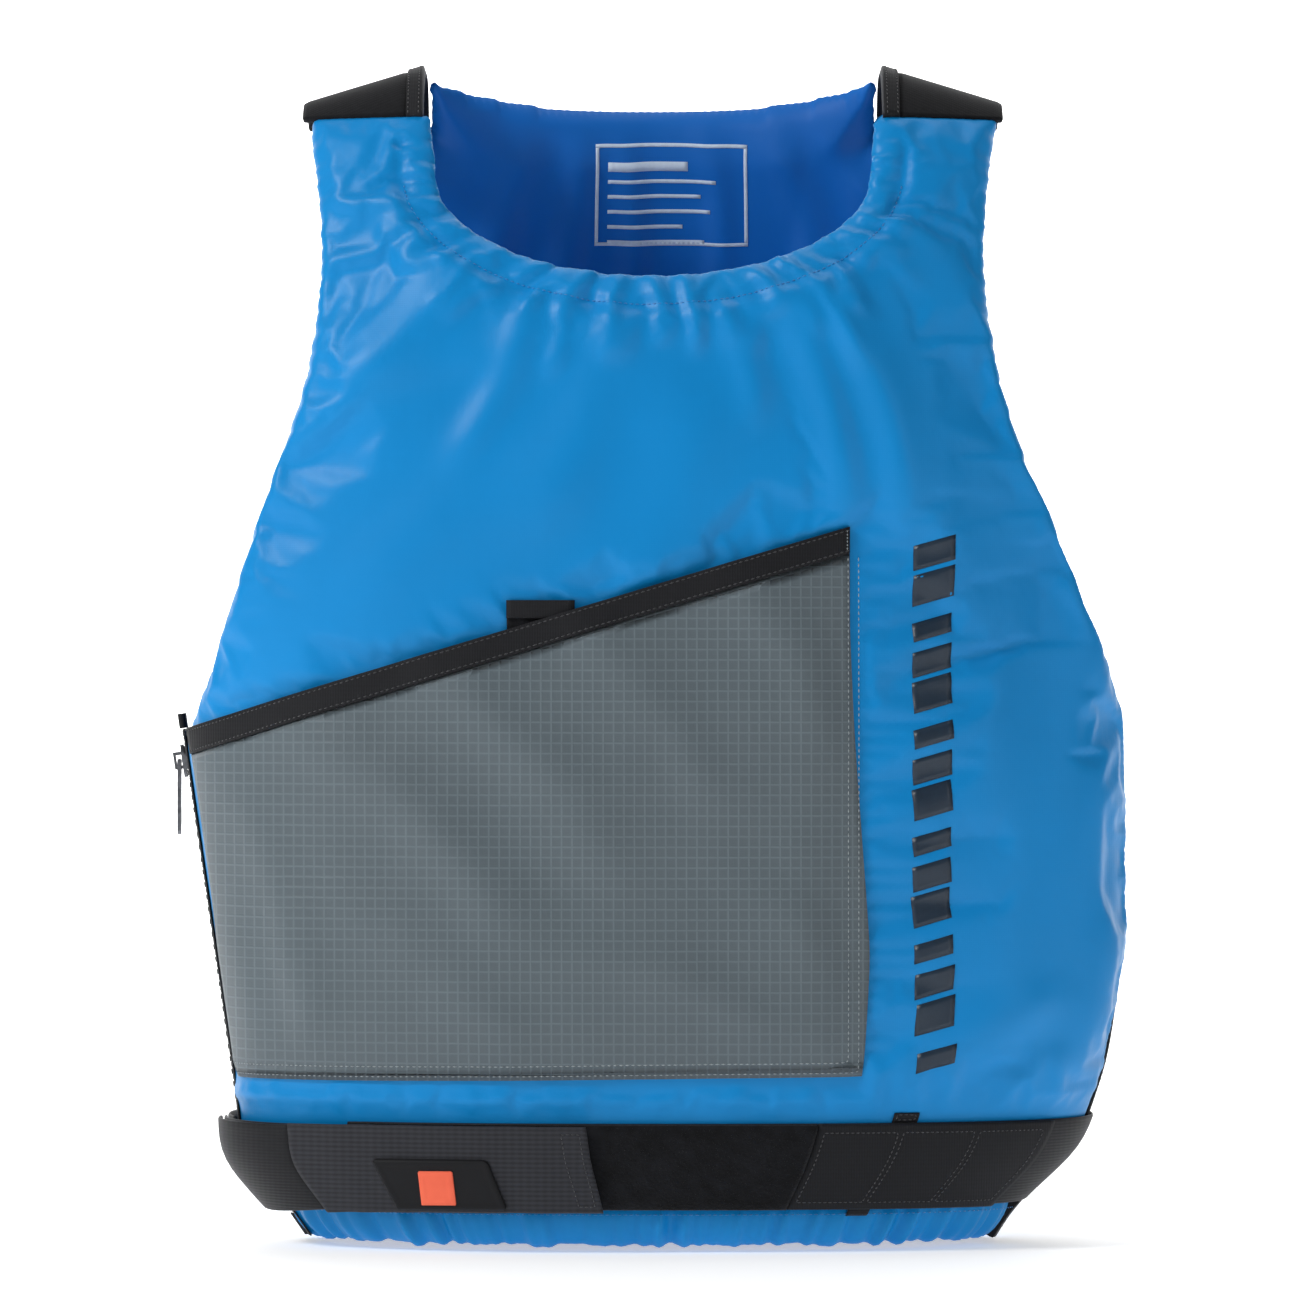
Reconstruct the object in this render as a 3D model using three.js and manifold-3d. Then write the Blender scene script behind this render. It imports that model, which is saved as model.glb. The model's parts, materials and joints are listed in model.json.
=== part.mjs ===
// Side-zip foam buoyancy vest for dinghy sailing, built the way the garment is sewn: outer shells,
// foam sheets and linings nested on one torso form, with a side zip, a patch pocket and a waist belt.
// Millimetres. +Z is up, the front faces -Y and the wearer's right side, with the zip, faces -X.
// The origin is under the middle of the hem.
import * as THREE from 'three';
import { mergeVertices } from 'three/addons/utils/BufferGeometryUtils.js';
import Module from 'manifold-3d';

// ---- Driving dimensions ------------------------------------------------------------------

// Heights above the hem.
const HEM_HEIGHT = 21;
const BELT_BOTTOM = 22;
const BELT_WIDTH = 43;
const ARMPIT_HEIGHT = 262;
const NECK_FRONT_HEIGHT = 493;
const NECK_BACK_HEIGHT = 587;
const SHOULDER_FRONT_HEIGHT = 576;
const SHOULDER_TOP_HEIGHT = 602;

// Torso form: half widths and half depths at the hem, the belt and the chest.
const HEM_HALF_WIDTH = 174;
const BELT_HALF_WIDTH = 212;
const CHEST_HALF_WIDTH = 238;
const HEM_HALF_DEPTH = 84;
const BELT_HALF_DEPTH = 102;
const CHEST_HALF_DEPTH = 121;
const CHEST_HEIGHT = 250;
const FORM_ROUNDNESS = 2.5;
const DOME_ROUNDNESS = 3;

// Neck opening and shoulder straps.
const NECK_HALF_WIDTH = 110;
const NECK_TOP_HALF_WIDTH = 117;
const NECK_ARC_HEIGHT = 545;
const NECK_BACK_RISE = 15;
const NECK_HOLE_BACK = 24;
const SHOULDER_HALF_SPAN = 180;
const SHOULDER_SLOPE = 0.3;
const ARMHOLE_WAIST = 171;
const ARMHOLE_WAIST_HEIGHT = 502;

// Fabric and foam thicknesses, measured inwards from the outer shell's face.
const SHELL_THICKNESS = 1.2;
const FOAM_SHEET_THICKNESS = 8.8;
const FOAM_SHEETS = 2;
const LINING_THICKNESS = 1.2;
const NEOPRENE_THICKNESS = 3;
const CLEARANCE = 0.3;
const FOAM_MARGIN = 18;
const NECK_BAND_WIDTH = 17;
const SIDE_GAP_HALF = 8;

// Side zip: moulded teeth on woven tape.
const ZIP_TAPE_WIDTH = 15;
const ZIP_TAPE_THICKNESS = 0.9;
const ZIP_TOOTH_PITCH = 6.4;
const ZIP_TOOTH_HEIGHT = 2.6;
const ZIP_TOOTH_REACH = 4.6;
const ZIP_TOOTH_DEPTH = 4.4;
const ZIP_CENTRE_GAP = 1.8;
const ZIP_BOTTOM = 16;
const ZIP_TOP_GAP = 4;
const ZIP_LIFT = 0.85;
const ZIP_RUNNING_GAP = 0.4;
const SLIDER_LENGTH = 17;
const SLIDER_DROP = 12;
const SLIDER_WIDTH = 13;
const SLIDER_PLATE = 1.6;
const PULL_LENGTH = 38;
const PULL_WIDTH = 8;
const PULL_THICKNESS = 2;

// Patch pocket.
const POCKET_RIGHT = 105;
const POCKET_BOTTOM = 84;
const POCKET_TOP_LEFT = 262;
const POCKET_TOP_RIGHT = 366;
const POCKET_GAP = 6.5;
const POCKET_FABRIC = 1;
const POCKET_HEM = 9;
const POCKET_BINDING_WIDTH = 13;
const POCKET_SIDE_INSET = 34;

// Waist belt.
const WEBBING_THICKNESS = 1.6;
const FLEECE_THICKNESS = 2.2;
const HOOK_THICKNESS = 1.4;
const HOOK_STRAP_LEFT = -186;
const HOOK_STRAP_RIGHT = -24;
const LOOP_PANEL_RIGHT = 76;
const ADJUST_STRAP_RIGHT = 190;
const FRONT_STRAP_LEFT = -150;
const LOOP_PANEL_LEFT = -140;
const HOOK_PATCH_LEFT = -130;
const HOOK_PATCH_RIGHT = -44;
const HOOK_PATCH_TRIM = 4;
const FRONT_KEEPER_PLACE = 118;
const BACK_KEEPER_PLACE = 110;
const BADGE_THICKNESS = 1.6;
const MARK_THICKNESS = 0.8;

// ---- Solid helpers -----------------------------------------------------------------------

const wasm = await Module();
wasm.setup();

const FAR = 500;

// Turns a closed three.js geometry into a solid that can be cut and joined.
function solid(geometry) {
  const bare = geometry.clone();
  for (const name of Object.keys(bare.attributes)) {
    if (name !== 'position') bare.deleteAttribute(name);
  }
  const merged = mergeVertices(bare, 1e-4);
  return new wasm.Manifold(new wasm.Mesh({
    numProp: 3,
    vertProperties: new Float32Array(merged.attributes.position.array),
    triVerts: new Uint32Array(merged.index.array),
  }));
}

function geometryOf(manifold) {
  const mesh = manifold.getMesh();
  const geometry = new THREE.BufferGeometry();
  geometry.setAttribute('position', new THREE.BufferAttribute(new Float32Array(mesh.vertProperties), 3));
  geometry.setIndex(new THREE.BufferAttribute(new Uint32Array(mesh.triVerts), 1));
  return geometry;
}

// A box given by its lowest and highest corners.
function boxSolid(low, high) {
  const size = high.map((value, axis) => value - low[axis]);
  const geometry = new THREE.BoxGeometry(...size);
  geometry.translate(...low.map((value, axis) => value + size[axis] / 2));
  return solid(geometry);
}

// An outline in the front view, X across and Z up, carried through the body from yLow to yHigh.
function prism(points, yLow, yHigh) {
  const shape = new THREE.Shape(points.map(([x, z]) => new THREE.Vector2(x, z)));
  const geometry = new THREE.ExtrudeGeometry(shape, { depth: yHigh - yLow, bevelEnabled: false });
  geometry.rotateX(Math.PI / 2);
  geometry.translate(0, yHigh, 0);
  return solid(geometry);
}

// ---- Torso form --------------------------------------------------------------------------

// The wearer's right side is close to straight so that the zip can run along it.
const LEFT_SIDE = [[-40, -150], [0, -HEM_HALF_WIDTH], [20, -HEM_HALF_WIDTH - 14], [48, -BELT_HALF_WIDTH + 1],
  [80, -BELT_HALF_WIDTH - 2], [ARMPIT_HEIGHT + 50, -CHEST_HALF_WIDTH - 10], [700, -CHEST_HALF_WIDTH - 10]];
const RIGHT_SIDE = [[-40, 150], [0, HEM_HALF_WIDTH], [20, HEM_HALF_WIDTH + 12], [48, BELT_HALF_WIDTH + 7],
  [92, BELT_HALF_WIDTH + 22], [150, CHEST_HALF_WIDTH + 4], [ARMPIT_HEIGHT, CHEST_HALF_WIDTH - 1],
  [700, CHEST_HALF_WIDTH - 1]];
const HALF_DEPTH = [[-40, 70], [0, HEM_HALF_DEPTH], [20, HEM_HALF_DEPTH + 8], [48, BELT_HALF_DEPTH],
  [110, BELT_HALF_DEPTH + 14], [CHEST_HEIGHT, CHEST_HALF_DEPTH], [700, CHEST_HALF_DEPTH]];

function along(table, height) {
  const next = table.findIndex(([z]) => z >= height);
  if (next <= 0) return table[next === 0 ? 0 : table.length - 1][1];
  const [z0, a] = table[next - 1];
  const [z1, b] = table[next];
  return THREE.MathUtils.mapLinear(height, z0, z1, a, b);
}

// Height of the shoulder ridge over a point across the body.
function ridgeHeight(x) {
  return SHOULDER_TOP_HEIGHT + SHOULDER_SLOPE * (NECK_TOP_HALF_WIDTH - Math.abs(x));
}

const ROUND_POWER = 2 / FORM_ROUNDNESS;

// A point of the form. turn runs once round the body from the wearer's left side over the back,
// and rise runs from the hem at 0 to the shoulder ridge at 1.
function formPoint(turn, rise) {
  const angle = turn * 2 * Math.PI;
  const across = Math.sign(Math.cos(angle)) * Math.abs(Math.cos(angle)) ** ROUND_POWER;
  const deep = Math.sign(Math.sin(angle)) * Math.abs(Math.sin(angle)) ** ROUND_POWER;
  let x = CHEST_HALF_WIDTH * across;
  let z = 0;
  for (let step = 0; step < 4; step += 1) {
    z = rise * ridgeHeight(x);
    const left = along(LEFT_SIDE, z);
    const right = along(RIGHT_SIDE, z);
    x = (left + right) / 2 + across * (right - left) / 2;
  }
  const dome = (1 - Math.max(rise, 0) ** DOME_ROUNDNESS) ** (1 / DOME_ROUNDNESS);
  return new THREE.Vector3(x, along(HALF_DEPTH, z) * deep * dome, z);
}

function formNormal(turn, rise) {
  if (rise > 0.9999) {
    const side = Math.cos(turn * 2 * Math.PI);
    return new THREE.Vector3(SHOULDER_SLOPE * Math.sign(side), 0, 1).normalize();
  }
  const low = Math.max(rise - 0.004, -0.06);
  const high = Math.min(rise + 0.004, 0.9998);
  const round = formPoint(turn + 0.004, rise).sub(formPoint(turn - 0.004, rise));
  const up = formPoint(turn, high).sub(formPoint(turn, low));
  return round.cross(up).normalize();
}

const TURNS = 28;
const RISES = [-0.06, 0, 0.034, 0.08, 0.15, 0.26, 0.4, 0.54, 0.67, 0.79, 0.88, 0.94, 0.985, 1];

// The form's closed surface, moved outwards by offset, which may depend on the place.
const formCache = new Map();
function form(offset) {
  if (typeof offset === 'number' && formCache.has(offset)) return formCache.get(offset);
  const positions = [];
  const triangles = [];
  for (const rise of RISES) {
    for (let step = 0; step < TURNS; step += 1) {
      const turn = (step + 0.5) / TURNS;
      const point = formPoint(turn, rise);
      const distance = typeof offset === 'number' ? offset : offset(point);
      point.addScaledVector(formNormal(turn, rise), distance);
      positions.push(point.x, point.y, point.z);
    }
  }
  const at = (row, step) => row * TURNS + (step % TURNS);
  for (let row = 0; row + 1 < RISES.length; row += 1) {
    for (let step = 0; step < TURNS; step += 1) {
      triangles.push(at(row, step), at(row, step + 1), at(row + 1, step + 1));
      triangles.push(at(row, step), at(row + 1, step + 1), at(row + 1, step));
    }
  }
  const top = RISES.length - 1;
  for (let step = 1; step + 1 < TURNS; step += 1) {
    triangles.push(at(0, 0), at(0, step + 1), at(0, step));
    triangles.push(at(top, 0), at(top, step), at(top, step + 1));
  }
  const geometry = new THREE.BufferGeometry();
  geometry.setAttribute('position', new THREE.Float32BufferAttribute(positions, 3));
  geometry.setIndex(triangles);
  const body = solid(geometry);
  if (typeof offset === 'number') formCache.set(offset, body);
  return body;
}

// The sheet between two distances from the form, kept where cutter is.
function sheet(inner, outer, cutter) {
  return form(outer).subtract(form(inner)).intersect(cutter);
}

// ---- Outlines ----------------------------------------------------------------------------

const NECK_STEPS = 10;
const ARMHOLE_STEPS = 10;

// The front edge of the neck opening, margin mm outside it, from the left strap to the right.
function neckFront(margin) {
  const points = [[-NECK_TOP_HALF_WIDTH - margin, FAR * 2], [-NECK_TOP_HALF_WIDTH - margin, SHOULDER_TOP_HEIGHT]];
  for (let step = 0; step <= NECK_STEPS; step += 1) {
    const angle = Math.PI * (1 + step / NECK_STEPS);
    points.push([
      Math.cos(angle) * (NECK_HALF_WIDTH + margin),
      NECK_ARC_HEIGHT + Math.sin(angle) * (NECK_ARC_HEIGHT - NECK_FRONT_HEIGHT + margin),
    ]);
  }
  points.push([NECK_TOP_HALF_WIDTH + margin, SHOULDER_TOP_HEIGHT], [NECK_TOP_HALF_WIDTH + margin, FAR * 2]);
  return points;
}

function neckBack(margin) {
  const points = [[-NECK_TOP_HALF_WIDTH - margin, FAR * 2]];
  for (let step = -NECK_STEPS / 2; step <= NECK_STEPS / 2; step += 1) {
    const share = (2 * step) / NECK_STEPS;
    points.push([share * (NECK_TOP_HALF_WIDTH + margin),
      NECK_BACK_HEIGHT + NECK_BACK_RISE * Math.abs(share) ** 2.5 - margin]);
  }
  points.push([NECK_TOP_HALF_WIDTH + margin, FAR * 2]);
  return points;
}

// The armhole on one side, grown by margin: everything beyond the vest's edge above the armpit.
function armhole(side, margin) {
  const edge = new THREE.SplineCurve([
    new THREE.Vector2(CHEST_HALF_WIDTH + 3, ARMPIT_HEIGHT),
    new THREE.Vector2(CHEST_HALF_WIDTH - 12, ARMPIT_HEIGHT + 40),
    new THREE.Vector2((CHEST_HALF_WIDTH + ARMHOLE_WAIST) / 2, ARMPIT_HEIGHT + 103),
    new THREE.Vector2(ARMHOLE_WAIST + 7, ARMHOLE_WAIST_HEIGHT - 58),
    new THREE.Vector2(ARMHOLE_WAIST, ARMHOLE_WAIST_HEIGHT),
    new THREE.Vector2(SHOULDER_HALF_SPAN - 2, SHOULDER_FRONT_HEIGHT),
    new THREE.Vector2(SHOULDER_HALF_SPAN + 2, SHOULDER_TOP_HEIGHT + 10),
  ]);
  const points = edge.getPoints(ARMHOLE_STEPS).map(({ x, y }) => [side * (x - margin), y]);
  points[0][1] -= margin;
  points.push([points.at(-1)[0], FAR * 2], [side * FAR, FAR * 2], [side * FAR, ARMPIT_HEIGHT - margin]);
  return side > 0 ? points.reverse() : points;
}

// Both armholes and the neck cut out of a block between two heights, for one half of the vest.
function panelBlock(front, margin, low, strapTop) {
  const [yLow, yHigh] = front ? [-FAR, -CLEARANCE / 2] : [CLEARANCE / 2, FAR];
  let block = boxSolid([-FAR, yLow, low], [FAR, yHigh, FAR * 2]);
  for (const side of [-1, 1]) block = block.subtract(prism(armhole(side, margin), -FAR * 2, FAR * 2));
  const neck = front ? neckFront(margin) : neckBack(margin);
  block = block.subtract(prism(neck, -FAR * 2, FAR * 2));
  if (front) return block.intersect(boxSolid([-FAR, -FAR, low], [FAR, FAR, strapTop]));
  const inner = NECK_TOP_HALF_WIDTH - margin;
  const hole = NECK_TOP_HALF_WIDTH + margin;
  block = block.subtract(boxSolid([-hole, -FAR, NECK_ARC_HEIGHT], [hole, NECK_HOLE_BACK + margin, FAR * 2]));
  const overStraps = boxSolid([-FAR, -FAR, strapTop], [-inner, FAR, FAR * 2])
    .add(boxSolid([inner, -FAR, strapTop], [FAR, FAR, FAR * 2]));
  return block.subtract(overStraps);
}

// The side openings: the zip on the wearer's right, the stretch panel on the left.
const SIDE_PANEL_HALF = 24;
function sideCut(margin) {
  return boxSolid([-FAR, -SIDE_GAP_HALF - margin, -FAR], [-100, SIDE_GAP_HALF + margin, ARMPIT_HEIGHT + FAR])
    .add(boxSolid([100, -SIDE_PANEL_HALF - margin, -FAR], [FAR, SIDE_PANEL_HALF + margin, ARMPIT_HEIGHT + FAR]));
}

// ---- Assembly ----------------------------------------------------------------------------

const group = new THREE.Group();

function add(name, manifold, color, roughness = 0.8, metalness = 0) {
  const mesh = new THREE.Mesh(geometryOf(manifold), new THREE.MeshStandardMaterial({ color, roughness, metalness }));
  mesh.name = name;
  group.add(mesh);
  return mesh;
}

const BLUE = 0x0a8fd6;
const INNER_BLUE = 0x0a57a0;
const GREY = 0x646c70;
const BLACK = 0x15161a;
const FOAM = 0xb9bcbf;
const GUNMETAL = 0x3a3c40;
const ORANGE = 0xff6f4c;

const FOAM_TOP = -SHELL_THICKNESS - CLEARANCE;
const FOAM_STEP = FOAM_SHEET_THICKNESS + CLEARANCE;
const LINING_OUTER = FOAM_TOP - FOAM_SHEETS * FOAM_STEP;
const LINING_INNER = LINING_OUTER - LINING_THICKNESS;
const PANEL_LOW = HEM_HEIGHT + CLEARANCE;
const FOAM_NAMES = ['outer', 'inner'];

for (const half of ['front', 'back']) {
  const front = half === 'front';
  const panel = panelBlock(front, 0, PANEL_LOW, SHOULDER_FRONT_HEIGHT).subtract(sideCut(0));
  const belowBand = front
    ? panel.subtract(prism(neckFront(NECK_BAND_WIDTH), -FAR * 2, FAR * 2))
    : panel;
  add(`${half}_outer_shell`, sheet(-SHELL_THICKNESS, 0, belowBand), BLUE, 0.55);
  const foamBlock = panelBlock(front, FOAM_MARGIN, PANEL_LOW + FOAM_MARGIN, SHOULDER_FRONT_HEIGHT - FOAM_MARGIN)
    .subtract(sideCut(FOAM_MARGIN));
  for (let index = 0; index < FOAM_SHEETS; index += 1) {
    const top = FOAM_TOP - index * FOAM_STEP;
    add(`${half}_foam_${FOAM_NAMES[index]}`, sheet(top - FOAM_SHEET_THICKNESS, top, foamBlock), FOAM, 0.9);
  }
  add(`${half}_lining`, sheet(LINING_INNER, LINING_OUTER, panel), INNER_BLUE, 0.7);
  const inset = SHELL_THICKNESS + 0.4;
  const core = panelBlock(front, inset, PANEL_LOW - 1, SHOULDER_FRONT_HEIGHT - inset).subtract(sideCut(inset));
  const border = panel.subtract(core);
  add(`${half}_edge_facing`, sheet(LINING_OUTER + CLEARANCE, FOAM_TOP, border), BLUE, 0.6);
}

// Keeps what lies between two heights.
function heights(low, high) {
  return boxSolid([-FAR, -FAR, low], [FAR, FAR, high]);
}

// ---- Neck, shoulders and hem -------------------------------------------------------------

const frontWhole = panelBlock(true, 0, PANEL_LOW, SHOULDER_FRONT_HEIGHT);
const bandStrip = frontWhole.intersect(prism(neckFront(NECK_BAND_WIDTH - CLEARANCE), -FAR * 2, FAR * 2));
add('neck_band', sheet(-SHELL_THICKNESS, 0, bandStrip), BLUE, 0.55);

// The elastic inside the band, clear of the band's edges and of the straps' tops.
const elasticStrip = prism(neckFront(NECK_BAND_WIDTH - 5), -FAR * 2, FAR * 2)
  .subtract(prism(neckFront(4), -FAR * 2, FAR * 2))
  .intersect(boxSolid([-FAR, -FAR, 0], [FAR, -CLEARANCE, NECK_ARC_HEIGHT]));
add('neck_elastic', sheet(FOAM_TOP - 1.6, FOAM_TOP, elasticStrip), 0xd8dadc, 0.9);

// Stretchy neoprene over each shoulder, with a bound edge along the neck.
const SHOULDER_BINDING_WIDTH = 8;
const shoulderBlock = heights(SHOULDER_FRONT_HEIGHT + CLEARANCE, FAR * 2);
for (const [name, side] of [['right', -1], ['left', 1]]) {
  const half = side > 0 ? boxSolid([0, -FAR, 0], [FAR, FAR, FAR * 2]) : boxSolid([-FAR, -FAR, 0], [0, FAR, FAR * 2]);
  const innerEdge = side * (NECK_TOP_HALF_WIDTH + CLEARANCE);
  const bindingEdge = innerEdge + side * SHOULDER_BINDING_WIDTH;
  const strap = shoulderBlock.intersect(half).subtract(prism(armhole(side, 0), -FAR * 2, FAR * 2));
  const beyond = (edge) => (side > 0
    ? boxSolid([edge, -FAR, 0], [FAR, FAR, FAR * 2])
    : boxSolid([-FAR, -FAR, 0], [edge, FAR, FAR * 2]));
  add(`${name}_shoulder_panel`,
    sheet(-NEOPRENE_THICKNESS, 0, strap.intersect(beyond(bindingEdge + side * CLEARANCE))), BLACK, 0.85);
  const bindingBlock = strap.intersect(beyond(innerEdge)).subtract(beyond(bindingEdge));
  add(`${name}_shoulder_binding`, sheet(-NEOPRENE_THICKNESS - 0.6, 0.8, bindingBlock), BLACK, 0.75);
}

// The hem is a deep casing with a gathering elastic in it. The vest stands on its flat underside.
const HEM_WALL = 5;
const channelInner = LINING_INNER + HEM_WALL;
for (const half of ['front', 'back']) {
  const side = half === 'front'
    ? boxSolid([-FAR, -FAR, 0], [FAR, -CLEARANCE / 2, HEM_HEIGHT])
    : boxSolid([-FAR, CLEARANCE / 2, 0], [FAR, FAR, HEM_HEIGHT]);
  const block = side.subtract(sideCut(0));
  const channel = sheet(channelInner, -HEM_WALL, heights(HEM_WALL, HEM_HEIGHT - HEM_WALL));
  add(`${half}_hem_casing`, sheet(LINING_INNER, 0, block).subtract(channel), BLUE, 0.6);
  const elastic = heights(HEM_WALL + CLEARANCE, HEM_HEIGHT - HEM_WALL - CLEARANCE).intersect(side.subtract(sideCut(2)));
  add(`${half}_hem_elastic`, sheet(channelInner + 3, -HEM_WALL - 3, elastic), 0xd8dadc, 0.9);
}

// Stretch panel down the wearer's left side, and the bound end of the hem below it.
const stretchBlock = boxSolid(
  [100, -SIDE_PANEL_HALF + CLEARANCE, HEM_HEIGHT + CLEARANCE],
  [FAR, SIDE_PANEL_HALF - CLEARANCE, ARMPIT_HEIGHT],
);
add('side_stretch_panel', sheet(-NEOPRENE_THICKNESS, 0, stretchBlock), BLACK, 0.85);
const hemEndBlock = boxSolid(
  [100, -SIDE_PANEL_HALF + CLEARANCE, 2],
  [FAR, SIDE_PANEL_HALF - CLEARANCE, HEM_HEIGHT],
);
add('hem_end_binding', sheet(-NEOPRENE_THICKNESS - 2, 1.5, hemEndBlock), BLACK, 0.8);

// ---- Patch pocket ------------------------------------------------------------------------

const POCKET_LEFT = -CHEST_HALF_WIDTH - 20;
const POCKET_DEEP = POCKET_GAP + POCKET_FABRIC + CLEARANCE;

// Height of the pocket's slanted mouth.
function pocketMouth(x) {
  return THREE.MathUtils.mapLinear(x, -CHEST_HALF_WIDTH, POCKET_RIGHT, POCKET_TOP_LEFT, POCKET_TOP_RIGHT);
}

// The pocket's outline, pulled in by inset, with its mouth moved by mouthShift.
function pocketOutline(inset, mouthShift) {
  const left = POCKET_LEFT;
  const right = POCKET_RIGHT - inset;
  const bottom = POCKET_BOTTOM + inset;
  return [[left, bottom - 4], [right, bottom + 4], [right, pocketMouth(right) + mouthShift],
    [left, pocketMouth(left) + mouthShift]];
}

function pocketBlock(inset, mouthShift) {
  return prism(pocketOutline(inset, mouthShift), -FAR, -POCKET_SIDE_INSET - inset);
}

// The pocket stands off the shell in the middle and lies close at its side edge.
function pocketRise(height) {
  return ({ x }) => {
    const share = THREE.MathUtils.smoothstep(x, -CHEST_HALF_WIDTH, -CHEST_HALF_WIDTH + 110);
    return THREE.MathUtils.lerp(CLEARANCE + 2, POCKET_DEEP, share) + height;
  };
}

const bindingDrop = POCKET_BINDING_WIDTH;
const pocketSkin = form(pocketRise(0)).subtract(form(CLEARANCE))
  .intersect(pocketBlock(0, -bindingDrop - CLEARANCE));
const pocketSpace = form(pocketRise(-POCKET_FABRIC)).intersect(pocketBlock(POCKET_HEM, FAR));
add('pocket_panel', pocketSkin.subtract(pocketSpace), GREY, 0.65);
const bindingBlock = pocketBlock(POCKET_HEM, 0).subtract(pocketBlock(0, -bindingDrop));
const bindingSkin = form(pocketRise(0.8)).subtract(form(pocketRise(-POCKET_FABRIC - 0.6)));
add('pocket_binding', bindingSkin.intersect(bindingBlock), BLACK, 0.7);

// A hook-and-loop tab closes the mouth: loop patch on the shell, hook tab on the binding.
const TAB_LEFT = -73;
const TAB_WIDTH = 34;
const TAB_HEIGHT = 10;
const TAB_RISE = 6;
const PATCH_DROP = 16;
const tabBase = pocketMouth(TAB_LEFT + TAB_WIDTH / 2);
const patchBlock = boxSolid(
  [TAB_LEFT, -FAR, tabBase - PATCH_DROP],
  [TAB_LEFT + TAB_WIDTH, 0, tabBase + TAB_HEIGHT - 2],
);
add('pocket_loop_patch', sheet(CLEARANCE, CLEARANCE + HOOK_THICKNESS, patchBlock), BLACK, 0.95);
const tabBlock = boxSolid(
  [TAB_LEFT, -FAR, tabBase + TAB_RISE],
  [TAB_LEFT + TAB_WIDTH, 0, tabBase + TAB_RISE + TAB_HEIGHT],
);
const tabInner = CLEARANCE * 2 + HOOK_THICKNESS;
add('pocket_hook_tab', sheet(tabInner, tabInner + HOOK_THICKNESS, tabBlock), BLACK, 0.8);

// ---- Size label --------------------------------------------------------------------------

const LABEL_CENTRE = 10;
const LABEL_WIDTH = 84;
const LABEL_HEIGHT = 62;
const LABEL_DROP = 10;
const LABEL_FILM = 0.5;
const labelBlock = boxSolid(
  [LABEL_CENTRE - LABEL_WIDTH / 2, 0, NECK_BACK_HEIGHT - LABEL_DROP - LABEL_HEIGHT],
  [LABEL_CENTRE + LABEL_WIDTH / 2, FAR, NECK_BACK_HEIGHT - LABEL_DROP],
);
add('size_label', sheet(LINING_INNER - CLEARANCE - LABEL_FILM, LINING_INNER - CLEARANCE, labelBlock), 0xd9e2ea, 0.6);

// ---- Waist belt --------------------------------------------------------------------------

const BELT_TOP = BELT_BOTTOM + BELT_WIDTH;
const BELT_BASE = 2 * CLEARANCE;
const BELT_ZIP_LIFT = 3.8;

// The belt stands further off on the wearer's right, where it passes over the zip.
function beltForm(level) {
  return form(({ x }) => {
    const lift = THREE.MathUtils.smoothstep(-x, BELT_HALF_WIDTH * 0.66, BELT_HALF_WIDTH * 0.92);
    return BELT_BASE + BELT_ZIP_LIFT * lift + level;
  });
}

function beltSheet(level, thickness, block) {
  return beltForm(level + thickness).subtract(beltForm(level)).intersect(block);
}

function beltBlock(xLow, xHigh, yLow, yHigh, trim = 0) {
  return boxSolid([xLow, yLow, BELT_BOTTOM + trim], [xHigh, yHigh, BELT_TOP - trim]);
}

const PANEL_LEVEL = WEBBING_THICKNESS + CLEARANCE;
const PATCH_LEVEL = PANEL_LEVEL + FLEECE_THICKNESS + CLEARANCE;
const STRAP_LEVEL = PATCH_LEVEL + HOOK_THICKNESS + CLEARANCE;
const BADGE_LEVEL = STRAP_LEVEL + WEBBING_THICKNESS + CLEARANCE;
const SIDE_LOOP_FRONT = -30;
const SIDE_LOOP_BACK = -2;

const aroundBack = beltBlock(-FAR, FAR, -FAR, FAR)
  .subtract(beltBlock(-FAR, LOOP_PANEL_RIGHT + CLEARANCE, -FAR, SIDE_LOOP_FRONT, -1));
add('belt_back_strap', beltSheet(0, WEBBING_THICKNESS, aroundBack), BLACK, 0.7);
add('belt_front_strap', beltSheet(0, WEBBING_THICKNESS, beltBlock(FRONT_STRAP_LEFT, LOOP_PANEL_RIGHT, -FAR, 0)),
  BLACK, 0.7);
add('belt_loop_panel',
  beltSheet(PANEL_LEVEL, FLEECE_THICKNESS, beltBlock(LOOP_PANEL_LEFT, LOOP_PANEL_RIGHT, -FAR, 0)),
  BLACK, 0.98);
add('belt_adjust_strap',
  beltSheet(PANEL_LEVEL, WEBBING_THICKNESS, beltBlock(LOOP_PANEL_RIGHT + CLEARANCE, ADJUST_STRAP_RIGHT, -FAR, 0)),
  BLACK, 0.85);
add('belt_hook_patch',
  beltSheet(PATCH_LEVEL, HOOK_THICKNESS,
    beltBlock(HOOK_PATCH_LEFT, HOOK_PATCH_RIGHT, -FAR, 0, HOOK_PATCH_TRIM)),
  BLACK, 0.9);

// The opening end of the belt is a wide elastic that lies over the loop panel.
const strapOutline = [[HOOK_STRAP_LEFT, BELT_BOTTOM], [HOOK_STRAP_RIGHT, BELT_BOTTOM - 1],
  [HOOK_STRAP_RIGHT - 12, BELT_TOP - 1], [HOOK_STRAP_LEFT, BELT_TOP]];
add('belt_hook_strap', beltSheet(STRAP_LEVEL, WEBBING_THICKNESS, prism(strapOutline, -FAR, 0)), 0x2b2c30, 0.8);

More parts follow.
